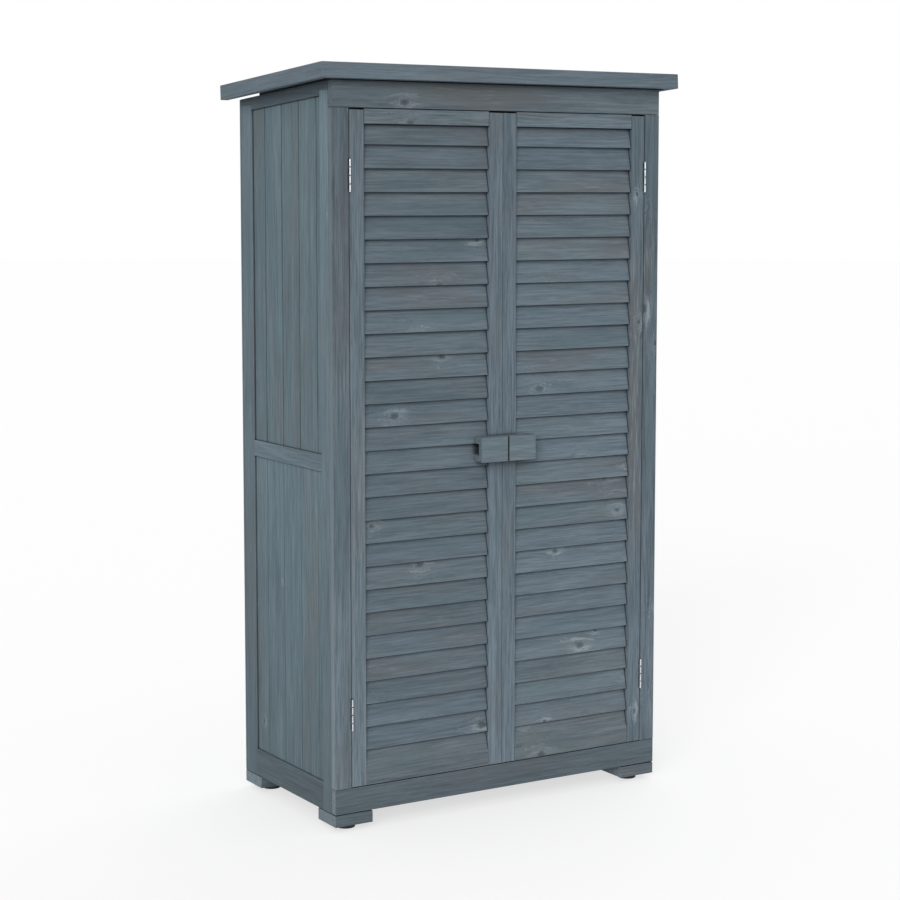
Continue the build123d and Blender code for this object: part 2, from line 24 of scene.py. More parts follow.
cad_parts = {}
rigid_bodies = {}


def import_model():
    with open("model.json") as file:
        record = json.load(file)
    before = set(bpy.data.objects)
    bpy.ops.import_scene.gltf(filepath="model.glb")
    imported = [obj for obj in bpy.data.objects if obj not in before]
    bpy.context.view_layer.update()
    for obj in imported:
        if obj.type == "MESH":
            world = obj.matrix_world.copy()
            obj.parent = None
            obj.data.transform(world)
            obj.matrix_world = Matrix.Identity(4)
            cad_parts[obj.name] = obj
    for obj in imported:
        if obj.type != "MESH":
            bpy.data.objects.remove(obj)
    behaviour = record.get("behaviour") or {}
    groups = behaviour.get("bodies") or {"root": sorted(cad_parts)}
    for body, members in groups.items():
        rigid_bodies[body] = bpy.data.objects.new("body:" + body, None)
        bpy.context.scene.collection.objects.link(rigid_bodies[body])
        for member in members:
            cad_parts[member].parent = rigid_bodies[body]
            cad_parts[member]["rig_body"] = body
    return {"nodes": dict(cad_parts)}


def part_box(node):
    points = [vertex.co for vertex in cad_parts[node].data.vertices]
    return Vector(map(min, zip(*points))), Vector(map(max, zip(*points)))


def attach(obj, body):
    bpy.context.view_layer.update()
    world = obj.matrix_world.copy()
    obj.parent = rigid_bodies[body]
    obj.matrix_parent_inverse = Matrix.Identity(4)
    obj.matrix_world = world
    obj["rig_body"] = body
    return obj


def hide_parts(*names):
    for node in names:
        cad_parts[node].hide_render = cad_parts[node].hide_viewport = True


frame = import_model()
log = logging.getLogger("shed")

Socket = bpy.types.NodeSocket
Colour = tuple[float, float, float]
Point = tuple[float, float, float]
Value = Union[float, Sequence[float], Socket]
Cut = tuple[Vector, Vector]
Limits = tuple[float, float]

HAIRLINE = 0.0003
SHARP_ANGLE = 0.5
ROUNDING_STEPS = 5


class Side(Enum):
    """Which side of the shed, as the sign of X."""

    LEFT = -1
    RIGHT = 1

    @property
    def label(self) -> str:
        """The word that node names use for this side."""
        return self.name.lower()


class Grain(Enum):
    """The way a board's grain runs, as the order of its own axes: along, across, through."""

    X = (0, 2, 1)
    Y = (1, 2, 0)
    Z = (2, 0, 1)
    Y_FLAT = (1, 0, 2)
    X_FLAT = (0, 1, 2)
    Z_SIDE = (2, 1, 0)


def srgb(red: int, green: int, blue: int) -> Colour:
    """Turns a colour as seen on a screen into the linear one that shaders use.

    Args:
        red: Red, from 0 to 255.
        green: Green, from 0 to 255.
        blue: Blue, from 0 to 255.

    Returns:
        The linear colour.
    """
    def linear(part: int) -> float:
        """One channel in linear light."""
        share = part / 255.0
        return share / 12.92 if share <= 0.04045 else ((share + 0.055) / 1.055) ** 2.4

    return linear(red), linear(green), linear(blue)


class Graph:
    """A node tree with short calls that add nodes and join them."""

    def __init__(self, tree: bpy.types.NodeTree) -> None:
        """Keeps the tree that nodes go into."""
        self.tree = tree

    def add(self, kind: str, **settings: object) -> bpy.types.Node:
        """Adds a node.

        Args:
            kind: The node's type name.
            **settings: Properties to set on it.

        Returns:
            The new node.
        """
        node = self.tree.nodes.new(kind)
        for name, value in settings.items():
            setattr(node, name, value)
        return node

    def feed(self, socket: Socket, value: Value) -> None:
        """Joins a socket to another one, or sets its value.

        Args:
            socket: The socket to fill.
            value: The socket that it is joined to, or its plain value.
        """
        if isinstance(value, Socket):
            self.tree.links.new(value, socket)
        else:
            socket.default_value = value

    def math(self, operation: str, *values: Value) -> Socket:
        """Works out a value.

        Args:
            operation: The sum to do.
            *values: Numbers or sockets to do it on.

        Returns:
            The result's socket.
        """
        node = self.add("ShaderNodeMath", operation=operation)
        for socket, value in zip(node.inputs, values):
            self.feed(socket, value)
        return node.outputs[0]

    def ease(self, value: Value, low: Value, high: Value, start: float = 0.0, stop: float = 1.0) -> Socket:
        """Maps a value smoothly from one span to another.

        Args:
            value: What to map.
            low: Where the span begins.
            high: Where the span ends.
            start: Result at and below low.
            stop: Result at and above high.

        Returns:
            The mapped value's socket.
        """
        node = self.add("ShaderNodeMapRange", interpolation_type="SMOOTHSTEP")
        names = ("Value", "From Min", "From Max", "To Min", "To Max")
        for name, given in zip(names, (value, low, high, start, stop)):
            self.feed(node.inputs[name], given)
        return node.outputs["Result"]

    def blend(self, factor: Value, first: Value, second: Value, mode: str = "MIX") -> Socket:
        """Blends two colours.

        Args:
            factor: Share of the second colour.
            first: The colour underneath.
            second: The colour on top.
            mode: How they mix.

        Returns:
            The blended colour's socket.
        """
        node = self.add("ShaderNodeMix", data_type="RGBA", blend_type=mode)
        for index, value in ((0, factor), (6, first), (7, second)):
            if not isinstance(value, Socket) and index > 0:
                value = (*value, 1.0)
            self.feed(node.inputs[index], value)
        return node.outputs[2]

    def vector(self, x: Value, y: Value, z: Value) -> Socket:
        """Joins three values to a vector.

        Args:
            x: Its first part.
            y: Its second part.
            z: Its third part.

        Returns:
            The vector's socket.
        """
        node = self.add("ShaderNodeCombineXYZ")
        for socket, value in zip(node.inputs, (x, y, z)):
            self.feed(socket, value)
        return node.outputs[0]

    def noise(self, place: Value, scale: float = 1.0, detail: float = 2.0, rough: float = 0.5) -> Socket:
        """Samples a noise.

        Args:
            place: Where to sample it.
            scale: How fine it is.
            detail: How many layers it has.
            rough: How strong its finer layers are.

        Returns:
            The noise's value, about a half.
        """
        node = self.add("ShaderNodeTexNoise")
        for name, value in (("Vector", place), ("Scale", scale), ("Detail", detail), ("Roughness", rough)):
            self.feed(node.inputs[name], value)
        return node.outputs[0]

    def stored(self, name: str) -> list[Socket]:
        """Splits a stored vector of the mesh into its three parts.

        Args:
            name: The name that the mesh stores it under.

        Returns:
            The sockets of its parts.
        """
        source = self.add("ShaderNodeAttribute", attribute_type="GEOMETRY", attribute_name=name)
        parts = self.add("ShaderNodeSeparateXYZ")
        self.feed(parts.inputs[0], source.outputs["Vector"])
        return list(parts.outputs)


class Groups:
    """Effects that several finishes share, each built once as a node group."""

    @staticmethod
    def start(
        name: str, inputs: dict[str, float], outputs: Iterable[str],
    ) -> tuple[Graph, dict[str, Socket], bpy.types.Node]:
        """Opens a new group.

        Args:
            name: The group's name.
            inputs: Its inputs and their usual values.
            outputs: Its outputs.

        Returns:
            Its graph, its inputs by name and the node that its outputs go to.
        """
        tree = bpy.data.node_groups.new(name, "ShaderNodeTree")
        for label, value in inputs.items():
            socket = tree.interface.new_socket(label, in_out="INPUT", socket_type="NodeSocketFloat")
            socket.default_value = value
        for label in outputs:
            tree.interface.new_socket(label, in_out="OUTPUT", socket_type="NodeSocketFloat")
        graph = Graph(tree)
        entry = graph.add("NodeGroupInput")
        return graph, {label: entry.outputs[label] for label in inputs}, graph.add("NodeGroupOutput")

    @staticmethod
    def fir_grain() -> bpy.types.NodeTree:
        """Growth rings that flow round knots, fibres, pale streaks and washes of stain.

        Returns:
            The group.
        """
        found = bpy.data.node_groups.get("fir_grain")
        if found:
            return found
        usual = {
            "Ring Count": 210.0, "Fibre Count": 760.0, "Knot Share": 0.3, "Knot Size": 0.009, "Wander": 0.02,
            "Streak Start": 0.62}
        outputs = ("Rings", "Bands", "Fibre", "Knot", "Halo", "Streak", "Wash", "Height")
        graph, given, out = Groups.start("fir_grain", usual, outputs)
        m = graph.math
        seeds = graph.stored("seed")
        log_size = (7.0, 3.0, 3.0)
        along, across, through = [
            m("MULTIPLY_ADD", seed, far, at) for seed, far, at in zip(seeds, log_size, graph.stored("place"))]

        def stretched(lengthwise: float, crosswise: float) -> Socket:
            """The place in the log, with its own scale along the grain and across it."""
            parts = zip((along, across, through), (lengthwise, crosswise, crosswise))
            return graph.vector(*(m("MULTIPLY", at, scale) for at, scale in parts))

        drift = graph.noise(stretched(1.5, 7.0))
        across_bent = m("MULTIPLY_ADD", m("SUBTRACT", drift, 0.5), given["Wander"], across)

        knots_along, knots_across, knot_stretch = 3.4, 11.0, 1.5
        cell = graph.add("ShaderNodeTexVoronoi", voronoi_dimensions="2D", feature="F1")
        spot = graph.vector(m("MULTIPLY", along, knots_along), m("MULTIPLY", across, knots_across), 0.0)
        graph.feed(cell.inputs["Vector"], spot)
        graph.feed(cell.inputs["Scale"], 1.0)
        offset = graph.add("ShaderNodeVectorMath", operation="SUBTRACT")
        graph.feed(offset.inputs[0], spot)
        graph.feed(offset.inputs[1], cell.outputs["Position"])
        away = graph.add("ShaderNodeSeparateXYZ")
        graph.feed(away.inputs[0], offset.outputs[0])
        away_along = m("DIVIDE", away.outputs[0], knots_along * knot_stretch)
        away_across = m("DIVIDE", away.outputs[1], knots_across)
        torn = graph.noise(graph.vector(m("MULTIPLY", along, 0.6), across, through), 170.0, 3.0, 0.65)
        ragged = m("MULTIPLY_ADD", torn, 1.7, 0.2)
        distance = m("SQRT", m("ADD", m("POWER", away_along, 2.0), m("POWER", away_across, 2.0)))
        reach = m("MULTIPLY", ragged, distance)
        luck = graph.add("ShaderNodeSeparateColor")
        graph.feed(luck.inputs[0], cell.outputs["Color"])
        there = m("LESS_THAN", luck.outputs[0], given["Knot Share"])
        radius = m("MULTIPLY", given["Knot Size"], m("MULTIPLY_ADD", luck.outputs[1], 0.9, 0.45))

        def radii(count: float) -> Socket:
            """A length of so many knot radii."""
            return m("MULTIPLY", radius, count)

        core = m("MULTIPLY", there, graph.ease(reach, radii(0.3), radii(0.75), 1.0, 0.0))
        rise = graph.ease(reach, radii(0.45), radii(0.95))
        fall = graph.ease(reach, radii(0.95), radii(2.6), 1.0, 0.0)
        halo = m("MULTIPLY", there, m("MULTIPLY", rise, fall))
        bend = m("MULTIPLY", there, graph.ease(reach, 0.0, radii(4.5), 0.8, 0.0))
        flow = m("SUBTRACT", across_bent, m("MULTIPLY", away_across, bend))

        def lines(lengthwise: float, count: Value, detail: float, rough: float) -> Socket:
            """Noise drawn out along the grain, so many lines to a metre.

            Args:
                lengthwise: How often it changes in a metre along the grain.
                count: How many lines there are in a metre across it.
                detail: How many layers it has.
                rough: How strong its finer layers are.

            Returns:
                The noise's socket.
            """
            spread = graph.vector(
                m("MULTIPLY", along, lengthwise), m("MULTIPLY", flow, count), m("MULTIPLY", through, count))
            return graph.noise(spread, 1.0, detail, rough)

        rings = lines(8.0, given["Ring Count"], 4.0, 0.72)
        bands = lines(3.0, 42.0, 3.0, 0.6)
        fibre = lines(24.0, given["Fibre Count"], 2.0, 0.7)
        dashes = lines(14.0, 250.0, 2.0, 0.6)
        wash = graph.noise(stretched(2.6, 13.0), 1.0, 3.0, 0.55)
        near_knot = m("MULTIPLY", there, graph.ease(reach, radius, radii(4.0), 1.0, 0.0))
        streak_full = m("ADD", given["Streak Start"], 0.12)
        chance = m("MAXIMUM", near_knot, graph.ease(wash, given["Streak Start"], streak_full, 0.0, 0.6))
        streak = m("MULTIPLY", graph.ease(dashes, 0.54, 0.7), chance)
        knot_ring = 0.0007
        turns = m("SINE", m("DIVIDE", reach, knot_ring))
        halo = m("MULTIPLY", halo, graph.ease(m("MULTIPLY_ADD", turns, 0.2, dashes), 0.42, 0.66))
        height = m("MULTIPLY_ADD", rings, 0.6, m("MULTIPLY", fibre, 0.4))
        height = m("SUBTRACT", height, m("MULTIPLY", core, 0.25))
        results = (graph.ease(rings, 0.33, 0.67), bands, fibre, core, halo, streak, wash, height)
        for label, value in zip(outputs, results):
            graph.feed(out.inputs[label], value)
        return graph.tree

    @staticmethod
    def board_edges() -> bpy.types.NodeTree:
        """Masks of a board's corners, narrow edges and sawn ends.

        Returns:
            The group.
        """
        found = bpy.data.node_groups.get("board_edges")
        if found:
            return found
        graph, given, out = Groups.start("board_edges", {"Reach": 0.004}, ("Seam", "Edge", "End"))
        m = graph.math
        place = graph.stored("place")
        inside = [m("SUBTRACT", half, m("ABSOLUTE", at)) for half, at in zip(graph.stored("half"), place)]
        first, second, third = inside
        middle = m("MAXIMUM", m("MINIMUM", first, second), m("MINIMUM", m("MAXIMUM", first, second), third))
        seeds = graph.stored("seed")
        spread = graph.vector(*[m("ADD", at, seed) for at, seed in zip(place, seeds)])
        uneven = graph.noise(spread, 45.0, 3.0, 0.6)
        reach = m("MULTIPLY", given["Reach"], graph.ease(uneven, 0.3, 0.75, 0.5, 1.5))
        graph.feed(out.inputs["Seam"], graph.ease(middle, 0.0, reach, 1.0, 0.0))
        graph.feed(out.inputs["Edge"], graph.ease(second, 0.0004, 0.0012, 1.0, 0.0))
        graph.feed(out.inputs["End"], graph.ease(first, 0.0004, 0.0012, 1.0, 0.0))
        return graph.tree

    @staticmethod
    def speckle() -> bpy.types.NodeTree:
        """Fine grains and slow patches, for felt, plastic and plated steel.

        Returns:
            The group.
        """
        found = bpy.data.node_groups.get("speckle")
        if found:
            return found
        graph, given, out = Groups.start("speckle", {"Grains": 900.0, "Patches": 9.0}, ("Grain", "Patch"))
        at = graph.add("ShaderNodeTexCoord").outputs["Object"]
        graph.feed(out.inputs["Grain"], graph.noise(at, given["Grains"], 2.0, 0.7))
        graph.feed(out.inputs["Patch"], graph.noise(at, given["Patches"], 3.0, 0.55))
        return graph.tree


@dataclass(frozen=True)
class Finish:
    """A procedural material that is built when it is first asked for."""

    name: str

    def material(self) -> bpy.types.Material:
        """Gives the material.

        Returns:
            The material, built once.
        """
        found = bpy.data.materials.get(self.name)
        if found:
            return found
        made = bpy.data.materials.new(self.name)
        made.use_nodes = True
        made.node_tree.nodes.clear()
        graph = Graph(made.node_tree)
        shader = graph.add("ShaderNodeBsdfPrincipled")
        graph.feed(graph.add("ShaderNodeOutputMaterial").inputs["Surface"], shader.outputs[0])
        self.shade(graph, shader)
        return made

    def shade(self, graph: Graph, shader: bpy.types.Node) -> None:
        """Fills in the shader; each finish has its own way.

        Args:
            graph: The material's graph.
            shader: The shader that it fills in.
        """
        raise NotImplementedError

    @staticmethod
    def place_group(
        graph: Graph, tree: bpy.types.NodeTree, **values: float,
    ) -> bpy.types.bpy_prop_collection:
        """Places a shared effect in a material.

        Args:
            graph: The material's graph.
            tree: The effect.
            **values: Its inputs, with underscores for spaces.

        Returns:
            The effect's outputs.
        """
        node = graph.add("ShaderNodeGroup", node_tree=tree)
        for name, value in values.items():
            node.inputs[name.replace("_", " ")].default_value = value
        return node.outputs

    @staticmethod
    def grime(graph: Graph, reach: float, closed: float, clear: float, shade: float) -> Socket:
        """Paints shade, from ambient occlusion, into a surface where others stand close to it.

        Args:
            graph: The material's graph.
            reach: How close they stand, in metres.
            closed: Openness at which it is darkest.
            clear: Openness from which it is clear.
            shade: What the colour is multiplied by where it is darkest.

        Returns:
            The factor's socket.
        """
        node = graph.add("ShaderNodeAmbientOcclusion", samples=5)
        node.inputs["Distance"].default_value = reach
        return graph.ease(node.outputs["AO"], closed, clear, shade, 1.0)

    @staticmethod
    def bump(graph: Graph, shader: bpy.types.Node, height: Value, strength: float, depth: float) -> None:
        """Raises the surface by a height.

        Args:
            graph: The material's graph.
            shader: The shader whose normal it moves.
            height: The height's socket.
            strength: How much of it shows.
            depth: How high it is, in metres.
        """
        node = graph.add("ShaderNodeBump")
        node.inputs["Strength"].default_value = strength
        node.inputs["Distance"].default_value = depth
        graph.feed(node.inputs["Height"], height)
        graph.feed(shader.inputs["Normal"], node.outputs[0])


@dataclass(frozen=True)
class StainedFir(Finish):
    """Fir under a thin slate grey stain that lets the grain through."""

    dark: Colour = srgb(80, 93, 102)
    light: Colour = srgb(116, 130, 140)
    warm: Colour = srgb(100, 103, 104)
    cool: Colour = srgb(88, 108, 117)
    pale: Colour = srgb(148, 159, 166)
    knot: Colour = srgb(64, 70, 73)
    sawn: Colour = srgb(138, 150, 158)
    # The seam colour is partly stain pooled at the edges and partly painted shade in the joints.
    seam: Colour = srgb(60, 69, 76)
    ring_count: float = 220.0
    fibre_count: float = 480.0
    knot_share: float = 0.26
    knot_size: float = 0.008
    streak_start: float = 0.62
    wander: float = 0.02
    roughness: float = 0.72
    brown: float = 0.45
    edge_fade: float = 0.3
    end_fade: float = 0.75
    seam_fade: float = 0.5
    edge_reach: float = 0.002
    # The joint and hollow settings paint shade from ambient occlusion.
    joint_reach: float = 0.004
    joint_shade: float = 0.2
    hollow_reach: float = 0.02
    hollow_shade: float = 0.25
    # Painted shadow: X and Z limits of the pocket behind the latch keeper, where the slats' front is
    # darkened.
    pocket: Optional[tuple[Limits, Limits]] = None
    pocket_fade: float = 0.018
    pocket_shade: float = 0.15

    def shade(self, graph: Graph, shader: bpy.types.Node) -> None:
        """Lays stain, grain, knots, pale edges and ends, dark seams and painted shade over one another.

        Args:
            graph: The material's graph.
            shader: The shader that it fills in.
        """
        grain = self.place_group(
            graph, Groups.fir_grain(), Ring_Count=self.ring_count, Fibre_Count=self.fibre_count,
            Knot_Share=self.knot_share, Knot_Size=self.knot_size, Wander=self.wander,
            Streak_Start=self.streak_start)
        edges = self.place_group(graph, Groups.board_edges(), Reach=self.edge_reach)
        m = graph.math
        share = m("MULTIPLY_ADD", grain["Rings"], 0.62, graph.ease(grain["Bands"], 0.3, 0.7, 0.0, 0.38))
        colour = graph.blend(share, self.dark, self.light)
        colour = graph.blend(graph.ease(grain["Fibre"], 0.46, 0.72, 0.0, 0.5), colour, self.light)
        colour = graph.blend(graph.ease(grain["Fibre"], 0.48, 0.26, 0.0, 0.5), colour, self.dark)
        colour = graph.blend(graph.ease(grain["Wash"], 0.5, 0.68, 0.0, self.brown), colour, self.warm)
        colour = graph.blend(graph.ease(grain["Wash"], 0.48, 0.32, 0.0, 0.4), colour, self.cool)
        colour = graph.blend(m("MULTIPLY", grain["Streak"], 0.65), colour, self.pale)
        colour = graph.blend(m("MULTIPLY", grain["Halo"], 0.5), colour, self.pale)
        colour = graph.blend(m("MULTIPLY", grain["Knot"], 0.6), colour, self.knot)
        colour = graph.blend(m("MULTIPLY", edges["Edge"], self.edge_fade), colour, self.sawn)
        sawn = graph.blend(grain["Rings"], self.light, self.sawn)
        colour = graph.blend(m("MULTIPLY", edges["End"], self.end_fade), colour, sawn)
        # Dark seams at the edges: partly pooled stain, partly painted shade.
        colour = graph.blend(m("MULTIPLY", edges["Seam"], self.seam_fade), colour, self.seam)
        tint = graph.add("ShaderNodeAttribute", attribute_type="GEOMETRY", attribute_name="tint")
        colour = graph.blend(1.0, colour, tint.outputs["Color"], "MULTIPLY")
        # Painted shade: ambient occlusion darkens joints and hollows, and the pocket gets its painted shadow.
        joints = self.grime(graph, self.joint_reach, 0.5, 0.97, self.joint_shade)
        shade = m("MULTIPLY", joints, self.grime(graph, self.hollow_reach, 0.15, 0.65, self.hollow_shade))
        if self.pocket:
            shade = m("MULTIPLY", shade, self.pocket_grime(graph))
        colour = graph.blend(1.0, colour, graph.vector(shade, shade, shade), "MULTIPLY")
        graph.feed(shader.inputs["Base Color"], colour)
        rough = graph.ease(grain["Fibre"], 0.2, 0.8, self.roughness - 0.07, self.roughness + 0.1)
        graph.feed(shader.inputs["Roughness"], rough)
        shader.inputs["Specular IOR Level"].default_value = 0.3
        self.bump(graph, shader, grain["Height"], 0.35, 0.0007)

    def pocket_grime(self, graph: Graph) -> Socket:
        """Paints the shadow that falls in the pocket behind the latch keeper onto the front of the slats.

        Args:
            graph: The material's graph.

        Returns:
            The factor's socket.
        """
        source = graph.add("ShaderNodeTexCoord")
        place, facing = [graph.add("ShaderNodeSeparateXYZ") for _ in range(2)]
        graph.feed(place.inputs[0], source.outputs["Object"])
        graph.feed(facing.inputs[0], source.outputs["Normal"])
        (start, stop), (low, high) = self.pocket
        soft = (high - low) / 12
        depth = graph.math(
            "MULTIPLY", graph.ease(place.outputs[0], start, start + self.pocket_fade),
            graph.ease(place.outputs[0], stop, stop + self.pocket_fade, 1.0, 0.0))
        height = graph.math(
            "MULTIPLY", graph.ease(place.outputs[2], low - soft, low + soft),
            graph.ease(place.outputs[2], high - soft, high + soft, 1.0, 0.0))
        front = graph.ease(facing.outputs[1], -0.6, -0.2, 1.0, 0.0)
        inside = graph.math("MULTIPLY", front, graph.math("MULTIPLY", depth, height))
        return graph.math("MULTIPLY_ADD", inside, self.pocket_shade - 1.0, 1.0)


@dataclass(frozen=True)
class ZincSteel(Finish):
    """Bright zinc plated steel with faint spangle."""

    bright: Colour = (0.68, 0.71, 0.74)
    dull: Colour = (0.46, 0.48, 0.51)

    def shade(self, graph: Graph, shader: bpy.types.Node) -> None:
        """Mixes bright and dull plating, paints shade into its crevices and roughens it in patches.

        Args:
            graph: The material's graph.
            shader: The shader that it fills in.
        """
        spots = self.place_group(graph, Groups.speckle(), Grains=700.0, Patches=60.0)
        colour = graph.blend(graph.ease(spots["Patch"], 0.35, 0.7, 0.0, 0.8), self.bright, self.dull)
        # Painted shade in the crevices round the plating, from ambient occlusion.
        shade = self.grime(graph, 0.003, 0.25, 0.8, 0.12)
        colour = graph.blend(1.0, colour, graph.vector(shade, shade, shade), "MULTIPLY")
        graph.feed(shader.inputs["Base Color"], colour)
        graph.feed(shader.inputs["Roughness"], graph.ease(spots["Grain"], 0.2, 0.8, 0.24, 0.42))
        shader.inputs["Metallic"].default_value = 1.0
        self.bump(graph, shader, spots["Grain"], 0.1, 0.0001)


@dataclass(frozen=True)
class BlackPlastic(Finish):
    """Moulded black plastic with a fine satin grain and a little dust."""

    body: Colour = (0.008, 0.008, 0.009)
    dust: Colour = (0.022, 0.022, 0.022)

    def shade(self, graph: Graph, shader: bpy.types.Node) -> None:
        """Dusts the plastic in patches and gives it a moulded grain.

        Args:
            graph: The material's graph.
            shader: The shader that it fills in.
        """
        spots = self.place_group(graph, Groups.speckle(), Grains=1400.0, Patches=40.0)
        colour = graph.blend(graph.ease(spots["Patch"], 0.45, 0.75, 0.0, 0.6), self.body, self.dust)
        graph.feed(shader.inputs["Base Color"], colour)
        graph.feed(shader.inputs["Roughness"], graph.ease(spots["Grain"], 0.2, 0.8, 0.4, 0.6))
        shader.inputs["Specular IOR Level"].default_value = 0.2
        self.bump(graph, shader, spots["Grain"], 0.15, 0.0002)


@dataclass(frozen=True)
class MineralFelt(Finish):
    """Bitumen roof felt with a slate mineral face."""

    bitumen: Colour = srgb(44, 47, 50)
    slate: Colour = srgb(92, 98, 102)
    faded: Colour = srgb(70, 75, 79)

    def shade(self, graph: Graph, shader: bpy.types.Node) -> None:
        """Scatters mineral grains over bitumen and fades it in patches.

        Args:
            graph: The material's graph.
            shader: The shader that it fills in.
        """
        spots = self.place_group(graph, Groups.speckle(), Grains=620.0, Patches=7.0)
        colour = graph.blend(graph.ease(spots["Grain"], 0.38, 0.62), self.bitumen, self.slate)
        colour = graph.blend(graph.ease(spots["Patch"], 0.4, 0.7, 0.0, 0.5), colour, self.faded)
        graph.feed(shader.inputs["Base Color"], colour)
        graph.feed(shader.inputs["Roughness"], graph.ease(spots["Patch"], 0.3, 0.7, 0.84, 0.95))
        self.bump(graph, shader, spots["Grain"], 0.5, 0.0008)


FRAME_STAIN = StainedFir(
    "frame_stain", dark=srgb(74, 87, 96), light=srgb(121, 135, 145), ring_count=250.0, knot_share=0.08,
    brown=0.35)
FLAMED_STAIN = StainedFir(
    "flamed_stain", dark=srgb(66, 78, 86), light=srgb(116, 130, 140), pale=srgb(154, 165, 172),
    ring_count=250.0, knot_share=0.5, knot_size=0.01, streak_start=0.5, brown=0.6)
PANEL_STAIN = StainedFir("panel_stain", ring_count=250.0, knot_share=0.08, brown=0.35, seam_fade=0.0)
SIDE_STAIN = replace(PANEL_STAIN, name="side_stain", dark=srgb(78, 94, 103), light=srgb(115, 132, 141))
HEADER_STAIN = StainedFir("header_stain", knot_share=0.15, brown=0.6, end_fade=0.0)
BASE_STAIN = StainedFir(
    "base_stain", dark=srgb(72, 83, 90), light=srgb(104, 117, 125), sawn=srgb(134, 147, 155),
    knot_share=0.05, brown=0.3, end_fade=0.9)
# Its pocket paints the shadow behind the latch keeper onto the left door's slats.
SLAT_STAIN = StainedFir(
    "slat_stain", knot_share=0.28, knot_size=0.0115, streak_start=0.57, seam_fade=0.0, joint_reach=0.003,
    pocket=((-0.077, -0.03), (0.7783, 0.8033)))
# Painted shade: its darker sawn colour darkens the end faces and the top and bottom faces of the latch
# timbers.
LATCH_STAIN = StainedFir(
    "latch_stain", dark=srgb(84, 97, 105), light=srgb(118, 132, 140), sawn=srgb(78, 88, 93),
    knot_share=0.0, brown=0.3, end_fade=0.8)
BOARD_STAIN = StainedFir(
    "board_stain", dark=srgb(78, 95, 103), light=srgb(114, 133, 141), knot_share=0.22, knot_size=0.005,
    brown=0.35, edge_fade=0.0)
TIGHT_BOARD_STAIN = replace(
    BOARD_STAIN, name="tight_board_stain", seam_fade=0.1, joint_shade=0.6, hollow_shade=0.5)
INNER_STAIN = StainedFir(
    "inner_stain", dark=srgb(90, 102, 110), light=srgb(118, 130, 138), knot_share=0.3, knot_size=0.011)
ZINC = ZincSteel("zinc_plate")
# Dark steel for the pins: partly their own colour, partly painted shade in the gaps between the knuckles.
PIN_STEEL = ZincSteel("pin_steel", bright=(0.16, 0.16, 0.16), dull=(0.08, 0.08, 0.08))
GLIDE_PLASTIC = BlackPlastic("glide_plastic")
ROOF_FELT = MineralFelt("mineral_felt")


